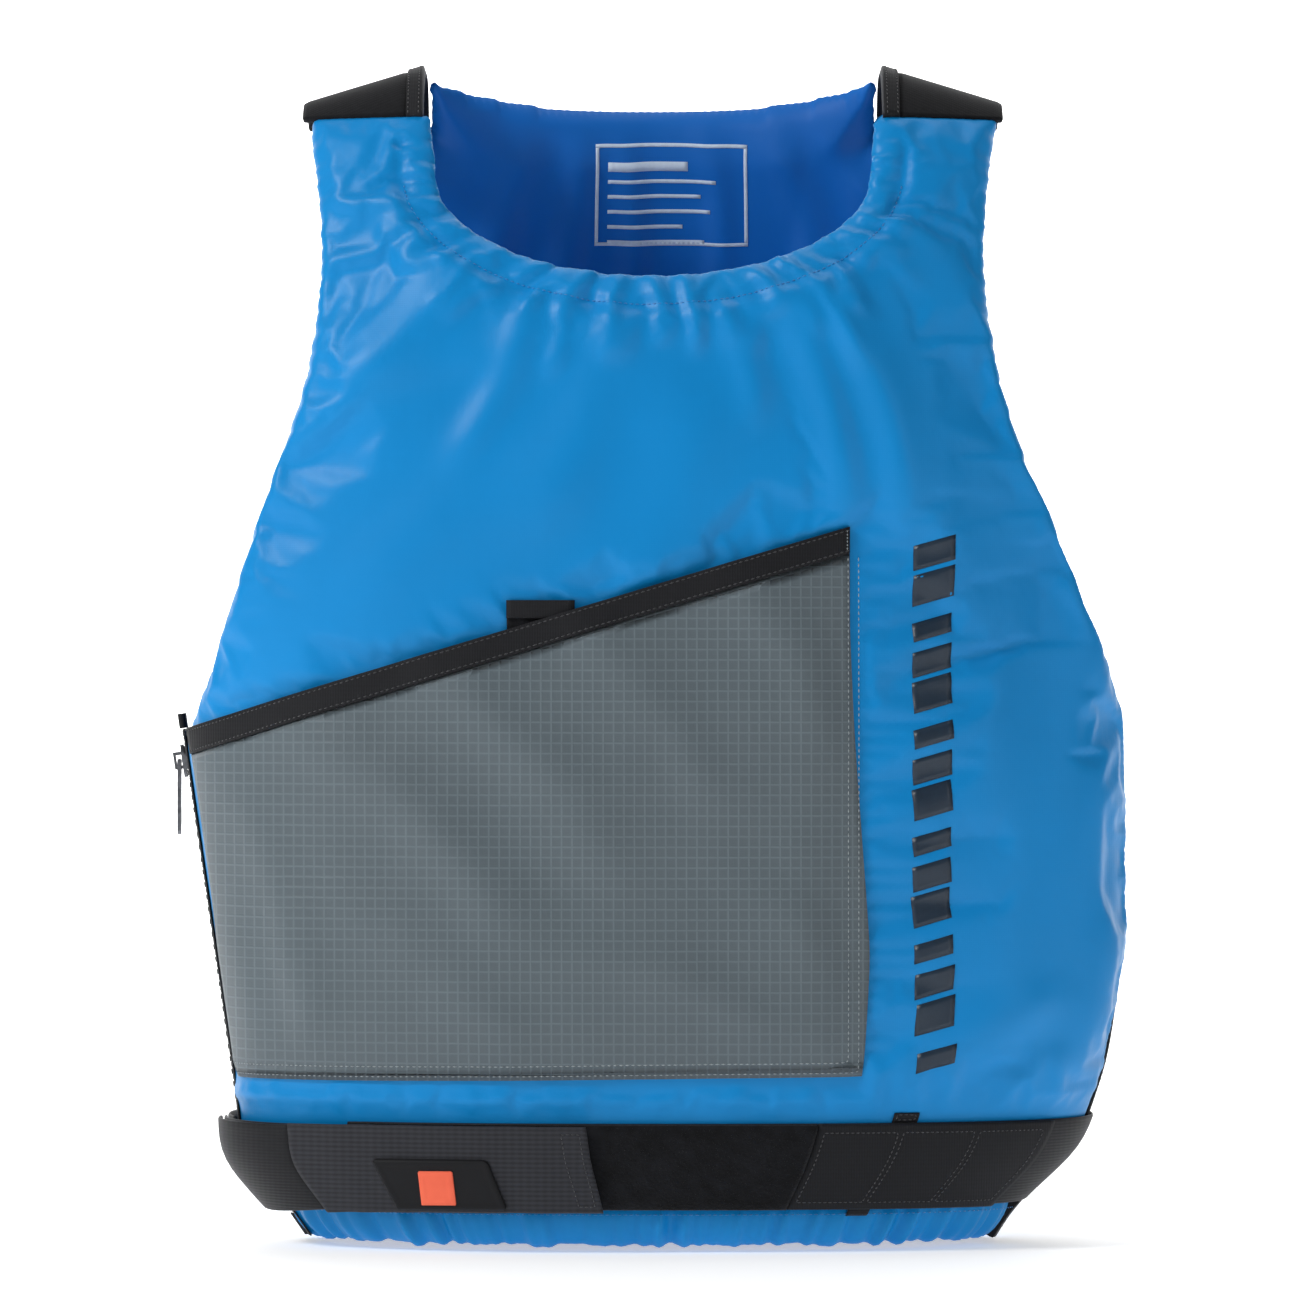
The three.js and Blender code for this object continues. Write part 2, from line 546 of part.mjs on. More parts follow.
// A folded loop joins it to the back strap over the zip.
const loopBlock = beltBlock(-FAR, HOOK_STRAP_LEFT - CLEARANCE, -FAR, SIDE_LOOP_BACK, 1);
const sideLoopTop = STRAP_LEVEL + WEBBING_THICKNESS;
const loopOuter = beltSheet(PANEL_LEVEL, sideLoopTop - PANEL_LEVEL, loopBlock);
const loopHole = beltSheet(PANEL_LEVEL + WEBBING_THICKNESS, sideLoopTop - PANEL_LEVEL - 2 * WEBBING_THICKNESS,
  boxSolid([-FAR, -FAR, 0], [HOOK_STRAP_LEFT - 4, SIDE_LOOP_BACK - 2, FAR]));
add('belt_side_loop', loopOuter.subtract(loopHole), BLACK, 0.75);

// Moulded badge on the opening end, with a plain coloured inset.
const BADGE_OUTLINE = [[-126, 24], [-72, 24], [-82, 49], [-139, 49]];
const MARK_OUTLINE = [[-114, 27], [-97, 27], [-99, 44], [-116, 44]];
add('belt_badge', beltSheet(BADGE_LEVEL, BADGE_THICKNESS, prism(BADGE_OUTLINE, -FAR, 0)), BLACK, 0.5);
add('belt_badge_mark',
  beltSheet(BADGE_LEVEL + BADGE_THICKNESS + CLEARANCE, MARK_THICKNESS, prism(MARK_OUTLINE, -FAR, 0)), ORANGE, 0.45);

// Keepers hold the belt to the shell: each is sewn down above and below it.
const KEEPER_WIDTH = 14;
const KEEPER_FOOT = 4;
const KEEPER_THICKNESS = 1.3;
function keeper(name, xMiddle, front, stack) {
  const [yLow, yHigh] = front ? [-FAR, 0] : [0, FAR];
  const block = boxSolid([xMiddle - KEEPER_WIDTH / 2, yLow, BELT_BOTTOM - KEEPER_FOOT],
    [xMiddle + KEEPER_WIDTH / 2, yHigh, BELT_TOP + KEEPER_FOOT]);
  const inner = BELT_BASE + stack + CLEARANCE;
  const under = form(inner).intersect(heights(BELT_BOTTOM - CLEARANCE, BELT_TOP + CLEARANCE));
  add(name, sheet(CLEARANCE, inner + KEEPER_THICKNESS, block).subtract(under), BLACK, 0.75);
}
keeper('belt_keeper_front', FRONT_KEEPER_PLACE, true, PANEL_LEVEL + WEBBING_THICKNESS);
keeper('belt_keeper_back_right', -BACK_KEEPER_PLACE, false, WEBBING_THICKNESS + BELT_ZIP_LIFT * 0.1);
keeper('belt_keeper_back_left', BACK_KEEPER_PLACE, false, WEBBING_THICKNESS);

// ---- Side zip ----------------------------------------------------------------------------

const ZIP_TOP = ARMPIT_HEIGHT - ZIP_TOP_GAP;
const toothOuter = ZIP_CENTRE_GAP / 2 + ZIP_TOOTH_REACH;

// A point of the zip's centre line and its upward direction, at a height on the side facet.
const zipRows = RISES.map((rise) => {
  const before = formPoint(0.5 - 0.5 / TURNS, rise);
  const normal = formNormal(0.5 - 0.5 / TURNS, rise);
  return before.addScaledVector(normal, ZIP_LIFT).setY(0);
});
function zipFrame(height) {
  const next = zipRows.findIndex(({ z }) => z >= height);
  const low = zipRows[next - 1];
  const high = zipRows[next];
  const up = high.clone().sub(low);
  return { point: low.clone().addScaledVector(up, (height - low.z) / up.z), up: up.normalize() };
}

for (const [name, side] of [['front', -1], ['back', 1]]) {
  const strip = (inner, outer, low, high) => {
    const edges = [side * inner, side * outer].sort((a, b) => a - b);
    return boxSolid([-FAR, edges[0], low], [-100, edges[1], high]);
  };
  const tapeInner = toothOuter + CLEARANCE;
  add(`zip_tape_${name}`,
    sheet(ZIP_LIFT - ZIP_TAPE_THICKNESS / 2, ZIP_LIFT + ZIP_TAPE_THICKNESS / 2,
      strip(tapeInner, tapeInner + ZIP_TAPE_WIDTH, 3, ARMPIT_HEIGHT)),
    BLACK, 0.8);
  let row = sheet(ZIP_LIFT - 1.1, ZIP_LIFT + 1.1, strip(toothOuter - 1.8, toothOuter, ZIP_BOTTOM, ZIP_TOP));
  const teeth = Math.floor((ZIP_TOP - ZIP_BOTTOM - ZIP_TOOTH_PITCH) / ZIP_TOOTH_PITCH);
  for (let index = 0; index < teeth; index += 1) {
    const height = ZIP_BOTTOM + ZIP_TOOTH_PITCH * (index + (side > 0 ? 0.3 : 0.8)) + 1;
    const { point, up } = zipFrame(height);
    const tooth = new THREE.BoxGeometry(ZIP_TOOTH_DEPTH, ZIP_TOOTH_REACH - 0.1, ZIP_TOOTH_HEIGHT);
    tooth.rotateY(Math.atan2(up.x, up.z));
    tooth.translate(point.x, side * (ZIP_CENTRE_GAP / 2 + ZIP_TOOTH_REACH / 2), point.z);
    row = row.add(solid(tooth));
  }
  add(`zip_teeth_${name}`, row, BLACK, 0.4);
  add(`zip_top_stop_${name}`, sheet(ZIP_LIFT - 2, ZIP_LIFT + 2,
    strip(ZIP_CENTRE_GAP / 2, toothOuter, ZIP_TOP + CLEARANCE, ZIP_TOP + 3)), GUNMETAL, 0.35, 0.9);
}

// Box and pin that start the zip at the hem.
const PIN_WIDTH = 1.8;
const pinBlock = (grow) => boxSolid(
  [-FAR, ZIP_CENTRE_GAP / 2 - grow, 5 - grow],
  [-100, ZIP_CENTRE_GAP / 2 + PIN_WIDTH + grow, ZIP_BOTTOM - CLEARANCE + grow * 9],
);
const pinSolid = (grow) => sheet(ZIP_LIFT - 0.9 - grow, ZIP_LIFT + 0.9 + grow, pinBlock(grow));
add('zip_pin', pinSolid(0), 0x9aa0a6, 0.3, 0.9);
const retainerBlock = boxSolid([-FAR, -toothOuter, 2], [-100, toothOuter, 13]);
add('zip_retainer_box', sheet(ZIP_LIFT - 2.6, ZIP_LIFT + 2.8, retainerBlock).subtract(pinSolid(CLEARANCE)),
  0x1d1e22, 0.35);

// Flap of shell fabric behind the zip, and a folded tape end above it.
add('zip_underflap', sheet(LINING_INNER - CLEARANCE - 1.2, LINING_INNER - CLEARANCE,
  boxSolid([-FAR, -26, PANEL_LOW], [-100, 26, ARMPIT_HEIGHT - 4])), INNER_BLUE, 0.7);
add('zip_garage', sheet(-SHELL_THICKNESS, ZIP_LIFT + 2,
  boxSolid([-FAR, -SIDE_GAP_HALF + CLEARANCE, ARMPIT_HEIGHT + CLEARANCE],
    [-100, SIDE_GAP_HALF - CLEARANCE, ARMPIT_HEIGHT + 8])), BLACK, 0.8);

// Carries a shape drawn in Y and Z along X, between two places.
function plate(points, xLow, xHigh) {
  const shape = new THREE.Shape(points.map(([y, z]) => new THREE.Vector2(y, z)));
  const geometry = new THREE.ExtrudeGeometry(shape, { depth: xHigh - xLow, bevelEnabled: false });
  geometry.translate(0, 0, xLow);
  geometry.applyMatrix4(new THREE.Matrix4().makeBasis(
    new THREE.Vector3(0, 1, 0), new THREE.Vector3(0, 0, 1), new THREE.Vector3(1, 0, 0)));
  return solid(geometry);
}

// The slider in its own frame: Z up along the zip, -X outwards, the origin amid the teeth.
const halfTooth = ZIP_TOOTH_DEPTH / 2;
const plateInner = halfTooth + ZIP_RUNNING_GAP;
const plateOuter = plateInner + SLIDER_PLATE;
const halfSlider = SLIDER_LENGTH / 2;
const halfWidth = SLIDER_WIDTH / 2;
const shield = [[-halfWidth + 1.8, -halfSlider], [halfWidth - 1.8, -halfSlider], [halfWidth, -halfSlider + 3],
  [halfWidth, halfSlider - 4], [halfWidth - 3, halfSlider], [-halfWidth + 3, halfSlider],
  [-halfWidth, halfSlider - 4], [-halfWidth, -halfSlider + 3]];
const webHalf = ZIP_CENTRE_GAP / 2 - ZIP_RUNNING_GAP;
const crownHole = { low: -2.2, high: 3.2, inner: plateOuter, outer: plateOuter + 3.1 };
const crownHalf = 1.1;
const crown = boxSolid([-crownHole.outer - 1.4, -crownHalf, crownHole.low - 1.8],
  [-plateOuter + 0.2, crownHalf, crownHole.high + 1.8])
  .subtract(boxSolid([-crownHole.outer, -5, crownHole.low], [-plateOuter, 5, crownHole.high]));
const flange = (side) => boxSolid(
  [-plateInner - 0.2, Math.min(side * toothOuter + side * 0.4, side * halfWidth), -halfSlider + 4],
  [-ZIP_TAPE_THICKNESS / 2 - ZIP_RUNNING_GAP, Math.max(side * toothOuter + side * 0.4, side * halfWidth),
    halfSlider - 5],
);
const sliderBody = plate(shield, -plateOuter, -plateInner)
  .add(plate(shield, plateInner, plateOuter))
  .add(boxSolid([-plateInner - 0.2, -webHalf, 1], [plateInner + 0.2, webHalf, halfSlider - 1]))
  .add(flange(-1)).add(flange(1))
  .add(crown);

// The pull swings on its crossbar under the slider's crown.
const pullPivot = { x: -plateOuter - 1.55, z: 0.5 };
const crossbar = new THREE.CylinderGeometry(1, 1, PULL_WIDTH - 0.6, 10);
crossbar.translate(pullPivot.x, 0, pullPivot.z);
const railInner = crownHalf + 0.5;
const pullLow = pullPivot.z - PULL_LENGTH;
const halfPull = PULL_WIDTH / 2;
const pullShape = [[-halfPull + 1.5, pullLow], [halfPull - 1.5, pullLow], [halfPull, pullLow + 2],
  [halfPull, pullPivot.z], [-halfPull, pullPivot.z], [-halfPull, pullLow + 2]];
const pullX = [pullPivot.x - PULL_THICKNESS / 2, pullPivot.x + PULL_THICKNESS / 2];
const pullTab = plate(pullShape, ...pullX)
  .subtract(boxSolid([-30, -railInner, pullPivot.z - 7], [0, railInner, pullPivot.z + 5]))
  .add(solid(crossbar))
  .subtract(boxSolid([-30, -1.4, pullLow + 5], [0, 1.4, pullLow + 14]));

const sliderSeat = zipFrame(ZIP_TOP - SLIDER_DROP);
const sliderGroup = new THREE.Group();
sliderGroup.position.copy(sliderSeat.point);
sliderGroup.rotation.y = Math.atan2(sliderSeat.up.x, sliderSeat.up.z);
sliderGroup.add(add('zip_slider', sliderBody, GUNMETAL, 0.35, 0.9));
group.add(sliderGroup);

// The pull hangs straight down from the slider's crown.
const pullMesh = add('zip_pull', pullTab, GUNMETAL, 0.4, 0.85);
pullMesh.geometry.translate(-pullPivot.x, 0, -pullPivot.z);
pullMesh.position.set(pullPivot.x, 0, pullPivot.z);
pullMesh.rotation.y = -sliderGroup.rotation.y;
sliderGroup.add(pullMesh);

export default group;
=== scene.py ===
# Side-zip foam buoyancy vest, laid out as a Blender add-on that is run as a script.
import json
import math

import bmesh
import bpy
import numpy as np
from bpy.props import FloatProperty, FloatVectorProperty, IntProperty, PointerProperty
from bpy.types import Operator, Panel, PropertyGroup
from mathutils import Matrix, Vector, kdtree, noise
from mathutils.bvhtree import BVHTree
from mathutils.geometry import delaunay_2d_cdt

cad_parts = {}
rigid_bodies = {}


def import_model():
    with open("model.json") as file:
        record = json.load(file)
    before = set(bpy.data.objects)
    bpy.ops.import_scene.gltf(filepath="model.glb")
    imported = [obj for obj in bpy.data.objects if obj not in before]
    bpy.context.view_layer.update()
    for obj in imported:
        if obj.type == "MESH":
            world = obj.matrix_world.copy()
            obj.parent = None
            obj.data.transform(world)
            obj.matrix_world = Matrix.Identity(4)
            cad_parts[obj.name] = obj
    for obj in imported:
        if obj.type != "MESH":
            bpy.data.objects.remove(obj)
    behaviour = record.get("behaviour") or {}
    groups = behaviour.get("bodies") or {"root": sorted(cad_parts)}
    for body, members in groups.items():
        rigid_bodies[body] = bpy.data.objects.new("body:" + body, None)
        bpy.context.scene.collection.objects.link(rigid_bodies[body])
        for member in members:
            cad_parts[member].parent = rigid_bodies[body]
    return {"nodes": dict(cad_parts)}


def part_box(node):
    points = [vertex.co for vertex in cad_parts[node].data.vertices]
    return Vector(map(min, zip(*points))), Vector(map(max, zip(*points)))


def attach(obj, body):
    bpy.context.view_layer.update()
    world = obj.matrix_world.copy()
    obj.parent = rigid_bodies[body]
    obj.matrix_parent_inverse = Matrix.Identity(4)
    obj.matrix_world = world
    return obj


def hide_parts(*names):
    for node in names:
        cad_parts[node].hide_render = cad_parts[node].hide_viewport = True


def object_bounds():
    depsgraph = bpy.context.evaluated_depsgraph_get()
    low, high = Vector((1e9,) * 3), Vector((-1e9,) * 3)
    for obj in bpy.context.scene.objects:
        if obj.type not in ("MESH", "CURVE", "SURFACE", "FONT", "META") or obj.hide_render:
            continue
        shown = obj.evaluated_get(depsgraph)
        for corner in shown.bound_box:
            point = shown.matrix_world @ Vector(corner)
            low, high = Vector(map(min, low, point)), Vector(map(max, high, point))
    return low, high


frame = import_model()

bl_info = {
    "name": "Foam buoyancy vest",
    "version": (1, 0, 0),
    "blender": (4, 5, 0),
    "location": "3D View > Sidebar > Vest",
    "description": "Builds a side-zip foam buoyancy vest, with its pocket, zip, belt and studio",
    "category": "Mesh",
}

CAD_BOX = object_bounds()
MM = 0.001


def corners(node):
    """The lowest and highest corners of a CAD node, as two vectors in metres."""
    low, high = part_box(node)
    return Vector(low), Vector(high)


_, SHELL_HIGH = corners("front_outer_shell")
_, HEM_HIGH = corners("front_hem_casing")
BELT_LOW, BELT_HIGH = corners("belt_back_strap")
POCKET_LOW, POCKET_HIGH = corners("pocket_panel")
BINDING_LOW, BINDING_HIGH = corners("pocket_binding")
BAND_LOW, _ = corners("neck_band")
SHOULDER_LOW, SHOULDER_HIGH = corners("left_shoulder_binding")
STRETCH_LOW, STRETCH_HIGH = corners("side_stretch_panel")
STRAP_LOW, STRAP_HIGH = corners("belt_hook_strap")
LOOP_LOW, LOOP_HIGH = corners("belt_loop_panel")
ADJUST_LOW, ADJUST_HIGH = corners("belt_adjust_strap")
TAB_LOW, TAB_HIGH = corners("pocket_hook_tab")
LABEL_LOW, LABEL_HIGH = corners("size_label")


class VestSizes(PropertyGroup):
    """Sizes that a maker would change without moving the frame."""

    grid: FloatProperty(name="Mesh step", description="Spacing of the cloth's mesh points",
                        default=4.2 * MM, unit="LENGTH")
    panel_depth: FloatProperty(name="Panel depth", description="Shell to lining over the foam",
                               default=20.4 * MM, unit="LENGTH")
    fold_height: FloatProperty(name="Fold height", description="Height of the shell's soft folds",
                               default=6.5 * MM, unit="LENGTH")
    stitch_length: FloatProperty(name="Stitch length", description="Length of one lockstitch",
                                 default=3.0 * MM, unit="LENGTH")
    stitch_width: FloatProperty(name="Thread width", description="Diameter of the sewing thread",
                                default=0.7 * MM, unit="LENGTH")
    puff_frames: IntProperty(name="Puff frames", description="Frames of cloth simulation in each body panel",
                             default=20, min=1)
    camera_distance: FloatProperty(name="Camera distance", description="From the lens to the chest",
                                   default=4.0, unit="LENGTH")
    view_width: FloatProperty(name="View width", description="Width seen at the chest",
                              default=650 * MM, unit="LENGTH")


def hex_colour(code):
    """An sRGB hex value as the linear colour that shaders take."""
    parts = [int(code[i:i + 2], 16) / 255 for i in (1, 3, 5)]
    return tuple(c / 12.92 if c <= 0.04045 else ((c + 0.055) / 1.055) ** 2.4 for c in parts)


def colour_prop(name, description, code):
    return FloatVectorProperty(name=name, description=description, default=hex_colour(code),
                               subtype="COLOR", size=3, min=0, max=1)


class VestColours(PropertyGroup):
    """Fabric colours. The lining's darker blue is painted shade: the same nylon as the shell, darkened for
    the shadow inside the vest.
    """

    shell: colour_prop("Shell", "Coated taffeta outer shell", "#0086CC")
    # painted shade: the lining is the shell's own nylon, given a darker blue for the shadow inside the vest
    lining: colour_prop("Lining", "Inside of the vest", "#0066BE")
    pocket: colour_prop("Pocket", "Ripstop pocket", "#5A656B")
    black: colour_prop("Black", "Tape, webbing and neoprene", "#121317")
    elastic: colour_prop("Elastic", "Ribbed belt elastic", "#2C2D32")
    accent: colour_prop("Accent", "Badge inset", "#FF6E50")
    print_ink: colour_prop("Print", "Dark print on the chest", "#14283A")
    label_ink: colour_prop("Label", "Light print on the lining", "#C9D8E8")


# ---- Torso form, the same one that the frame's shells lie on --------------------------------

ROUND = 2 / 2.5
DOME = 3.0
SHOULDER_Z = SHELL_HIGH.z
HEM_TOP = HEM_HIGH.z
ARMPIT_Z = STRETCH_HIGH.z
RIDGE_Z = SHOULDER_HIGH.z - 0.8 * MM
RIDGE_SLOPE = 0.3
NECK_TOP_X = SHOULDER_LOW.x
NECK_X = 110 * MM
NECK_Z = BAND_LOW.z + 16.7 * MM
NECK_ARC_Z = NECK_Z + 52 * MM
NECK_BACK_Z = LABEL_HIGH.z + 10 * MM
BELT_Z = (BELT_LOW.z + BELT_HIGH.z) / 2

HEM_X = 174 * MM
BELT_X = 212 * MM
CHEST_HALF = 238 * MM
HEM_Y, BELT_Y, CHEST_Y = 84 * MM, 102 * MM, 121 * MM

HEIGHTS = np.arange(-0.04, 0.72, 0.002)


def soft_table(pairs, spread=9 * MM):
    """A smooth curve through a few (height, value) pairs, as values at HEIGHTS."""
    z, value = np.array(pairs).T
    raw = np.interp(HEIGHTS, z, value)
    steps = int(3 * spread / 0.002)
    kernel = np.exp(-0.5 * (np.arange(-steps, steps + 1) * 0.002 / spread) ** 2)
    padded = np.pad(raw, steps, mode="edge")
    return np.convolve(padded, kernel / kernel.sum(), mode="valid")


RIGHT_SIDE = soft_table([(-0.04, -0.150), (0, -HEM_X), (0.020, -HEM_X - 0.014), (0.048, -BELT_X + 0.001),
                         (0.080, -BELT_X - 0.002), (ARMPIT_Z + 0.05, -CHEST_HALF - 0.010),
                         (0.7, -CHEST_HALF - 0.010)], 5 * MM)
LEFT_SIDE = soft_table([(-0.04, 0.150), (0, HEM_X), (0.020, HEM_X + 0.012), (0.048, BELT_X + 0.007),
                        (0.092, BELT_X + 0.022), (0.150, CHEST_HALF + 0.004), (ARMPIT_Z, CHEST_HALF - 0.001),
                        (0.7, CHEST_HALF - 0.001)])
DEPTH = soft_table([(-0.04, 0.070), (0, HEM_Y), (0.020, HEM_Y + 0.008), (0.048, BELT_Y),
                    (0.110, BELT_Y + 0.014), (0.250, CHEST_Y), (0.7, CHEST_Y)])

# Arc length round a quarter of the section, so that points can be spaced evenly along cloth.
_angle = np.linspace(0, math.pi / 2, 2001)
_qx = np.sin(_angle) ** ROUND
_qy = np.cos(_angle) ** ROUND
_arc = np.concatenate([[0], np.cumsum(np.hypot(np.diff(_qx) * CHEST_HALF, np.diff(_qy) * CHEST_Y))])
QUARTER = float(_arc[-1])


def section(u):
    """Unit section at arc length u from the middle of the front, round to the back."""
    u = (u + 2 * QUARTER) % (4 * QUARTER) - 2 * QUARTER
    way = np.abs(u)
    behind = way > QUARTER
    folded = np.where(behind, 2 * QUARTER - way, way)
    across = np.sign(u) * np.interp(folded, _arc, _qx)
    return across, np.where(behind, -1, 1) * np.interp(folded, _arc, _qy)


def base_points(u, z):
    """Points of the form over the front half, from arc length across and height."""
    across, deep = section(u)
    left = np.interp(z, HEIGHTS, RIGHT_SIDE)
    right = np.interp(z, HEIGHTS, LEFT_SIDE)
    x = (left + right) / 2 + across * (right - left) / 2
    ridge = RIDGE_Z + RIDGE_SLOPE * (NECK_TOP_X - np.sqrt(x * x + 1e-4))
    rise = np.clip(z / ridge, 0, 1)
    dome = (1 - rise ** DOME) ** (1 / DOME)
    return np.stack([x, -np.interp(z, HEIGHTS, DEPTH) * deep * dome, z], axis=-1)


def normals_at(u, z):
    step = 1.5 * MM
    round_way = base_points(u + step, z) - base_points(u - step, z)
    up_way = base_points(u, z + step) - base_points(u, z - step)
    normal = np.cross(round_way, up_way)
    length = np.linalg.norm(normal, axis=-1, keepdims=True)
    return normal / np.maximum(length, 1e-9)


def place(u, z, offset, front=True):
    """Points at a distance outside the form. The back half is the front half turned over."""
    u, z = np.asarray(u, float), np.asarray(z, float)
    offset = np.broadcast_to(np.asarray(offset, float), u.shape)
    points = base_points(u, z) + normals_at(u, z) * offset[..., None]
    if not front:
        points[..., 1] *= -1
    return points


def arc_of_x(x, z):
    """Arc length at which the form's section reaches x at height z."""
    left = np.interp(z, HEIGHTS, RIGHT_SIDE)
    right = np.interp(z, HEIGHTS, LEFT_SIDE)
    share = np.clip((np.asarray(x) - (left + right) / 2) / ((right - left) / 2), -1, 1)
    return np.sign(share) * np.interp(np.abs(share), _qx, _arc)


def arc_of_y(y, z):
    """Arc length at which the section comes within y of the side seam."""
    share = np.clip(y / np.interp(z, HEIGHTS, DEPTH), 0, 1)
    return np.interp(-share, -_qy, _arc)


# ---- Mesh helpers ----------------------------------------------------------------------------

def sizes():
    return bpy.context.scene.vest_sizes


def colours():
    return bpy.context.scene.vest_colours


def mesh_object(name, points, faces, materials, face_slots=None, smooth=True):
    mesh = bpy.data.meshes.new(name)
    mesh.from_pydata([tuple(p) for p in points], [], [tuple(f) for f in faces])
    for item in materials:
        mesh.materials.append(item)
    if face_slots is not None:
        mesh.polygons.foreach_set("material_index", np.asarray(face_slots, dtype=np.int32))
    if smooth:
        mesh.polygons.foreach_set("use_smooth", [True] * len(mesh.polygons))
    mesh.update()
    obj = bpy.data.objects.new(name, mesh)
    bpy.context.scene.collection.objects.link(obj)
    bm = bmesh.new()
    bm.from_mesh(mesh)
    bmesh.ops.recalc_face_normals(bm, faces=bm.faces)
    bm.to_mesh(mesh)
    bm.free()
    return obj


def finish_piece(obj, body, nodes=()):
    """Rides a piece on its body and hides the CAD nodes it stands for."""
    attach(obj, body)
    if nodes:
        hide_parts(*nodes)
    return obj


def slab(name, us, low, high, offset, thickness, material, rows=8, front=True, lean=(0, 0)):
    """A strip of cloth or webbing on the form, between two edges given as heights along us.
    lean slants its two ends, as arc length per unit of height."""
    us = np.asarray(us, float)
    low, high = np.broadcast_to(low, us.shape), np.broadcast_to(high, us.shape)
    shares = np.concatenate([[0, 0.02], np.linspace(0, 1, rows + 1)[1:-1], [0.98, 1]])
    grid_u = np.repeat(us[:, None], len(shares), axis=1)
    grid_z = low[:, None] + (high - low)[:, None] * shares[None, :]
    slant = np.linspace(lean[0], lean[1], len(us))[:, None]
    grid_u = grid_u + slant * (grid_z - grid_z.mean(axis=1, keepdims=True))
    base = offset(grid_u, grid_z) if callable(offset) else np.full(grid_u.shape, offset)
    return grid_slab(name, grid_u, grid_z, base, thickness, material, front)


def grid_slab(name, grid_u, grid_z, base, thickness, material, front=True):
    """A closed strip over a grid of arc lengths and heights, its long edges softened."""
    soft = np.zeros(grid_u.shape)
    soft[:, [0, -1]] = 0.28 * thickness
    outer = place(grid_u, grid_z, base + thickness - soft, front)
    inner = place(grid_u, grid_z, base + soft, front)
    return closed_sheet(name, outer, inner, material)


def closed_sheet(name, outer, inner, material):
    """Joins two grids of points, one over the other, into one closed sheet."""
    count_u, count_z = outer.shape[:2]
    total = count_u * count_z
    faces = []
    for i in range(count_u - 1):
        for j in range(count_z - 1):
            a, b = i * count_z + j, (i + 1) * count_z + j
            faces += [(a, b, b + 1, a + 1), (a + total, a + 1 + total, b + 1 + total, b + total)]
    rim = [i * count_z for i in range(count_u)] + [(count_u - 1) * count_z + j for j in range(1, count_z)]
    rim += [i * count_z + count_z - 1 for i in range(count_u - 2, -1, -1)]
    rim += [j for j in range(count_z - 2, 0, -1)]
    faces += [(a, b, b + total, a + total) for a, b in zip(rim, rim[1:] + rim[:1])]
    return mesh_object(name, np.concatenate([outer.reshape(-1, 3), inner.reshape(-1, 3)]), faces, [material])


def arcs(x_low, x_high, z, step=4 * MM):
    """Arc lengths from one x to another at height z, evenly spaced."""
    start, end = float(arc_of_x(x_low, z)), float(arc_of_x(x_high, z))
    return np.linspace(start, end, max(int((end - start) / step), 3))


def stitch_row(points, material, name, body, length=None, gap=0.25):
    """A row of lockstitches along a line of points, each a small spindle of thread."""
    length = length or sizes().stitch_length
    half = sizes().stitch_width / 2
    points = np.asarray(points, float)
    run = np.concatenate([[0], np.cumsum(np.linalg.norm(np.diff(points, axis=0), axis=1))])
    count = max(int(run[-1] / length), 1)
    verts, faces = [], []
    for k in range(count):
        ends = [np.array([np.interp(s, run, points[:, a]) for a in range(3)])
                for s in ((k + gap / 2) * run[-1] / count, (k + 1 - gap / 2) * run[-1] / count)]
        direction = ends[1] - ends[0]
        direction /= max(np.linalg.norm(direction), 1e-9)
        side = np.cross(direction, (0.31, -0.9, 0.3))
        side /= max(np.linalg.norm(side), 1e-9)
        other = np.cross(direction, side)
        middle = (ends[0] + ends[1]) / 2
        start = len(verts)
        verts += [ends[0], middle + side * half, middle + other * half, middle - side * half,
                  middle - other * half, ends[1]]
        for a in range(4):
            b = (a + 1) % 4
            faces.append((start, start + 1 + b, start + 1 + a))
            faces.append((start + 5, start + 1 + a, start + 1 + b))
    return finish_piece(mesh_object(name, verts, faces, [material]), body)


# ---- Folds and seams of the body panels ------------------------------------------------------

# Each fold is a soft ridge: start x and z, end x and z, width and height, in millimetres.
CHEST_FOLDS = (
    (58, 490, 98, 380, 7, 3.2), (84, 484, 126, 372, 8, 3.4), (100, 470, 150, 330, 12, 2.4),
    (34, 474, 52, 420, 6, 1.8), (-60, 482, -96, 400, 7, 2.2), (-88, 492, -150, 440, 9, 2.4),
    (-100, 508, -168, 420, 10, 2.2), (-176, 405, -76, 457, 9, 1.7), (-20, 474, -60, 360, 12, 1.6),
    (173, 462, 226, 280, 11, 4.0), (196, 400, 212, 190, 12, 3.0), (232, 250, 214, 96, 10, 3.6),
    (150, 300, 176, 110, 16, 2.0), (-196, 380, -150, 470, 12, 2.4), (-214, 320, -120, 420, 16, 2.0),
    (-150, 330, -40, 400, 18, 1.8), (20, 430, -10, 330, 16, 1.6), (140, 92, 200, 128, 9, 2.0),
)
BACK_FOLDS = (
    (-120, 560, -60, 420, 14, 2.6), (120, 560, 70, 400, 14, 2.6), (-190, 380, -120, 300, 14, 2.4),
    (190, 380, 130, 290, 14, 2.2), (0, 560, 10, 400, 18, 2.0), (-150, 100, -110, 190, 10, 2.2),
    (150, 100, 120, 200, 10, 2.2), (-40, 96, -30, 180, 9, 2.0), (60, 96, 50, 170, 9, 2.0),
    (-216, 250, -200, 110, 12, 2.8), (216, 250, 206, 110, 12, 2.8),
)
NECK_CREASES = ((-70, 584, -112, 470, 8, 2.6), (-40, 586, -58, 480, 7, 2.2), (-22, 588, -14, 470, 6, 1.8),
                (28, 588, 34, 480, 6, 1.8), (64, 586, 92, 470, 8, 2.6), (92, 588, 128, 500, 7, 2.4))
rng = np.random.default_rng(7)


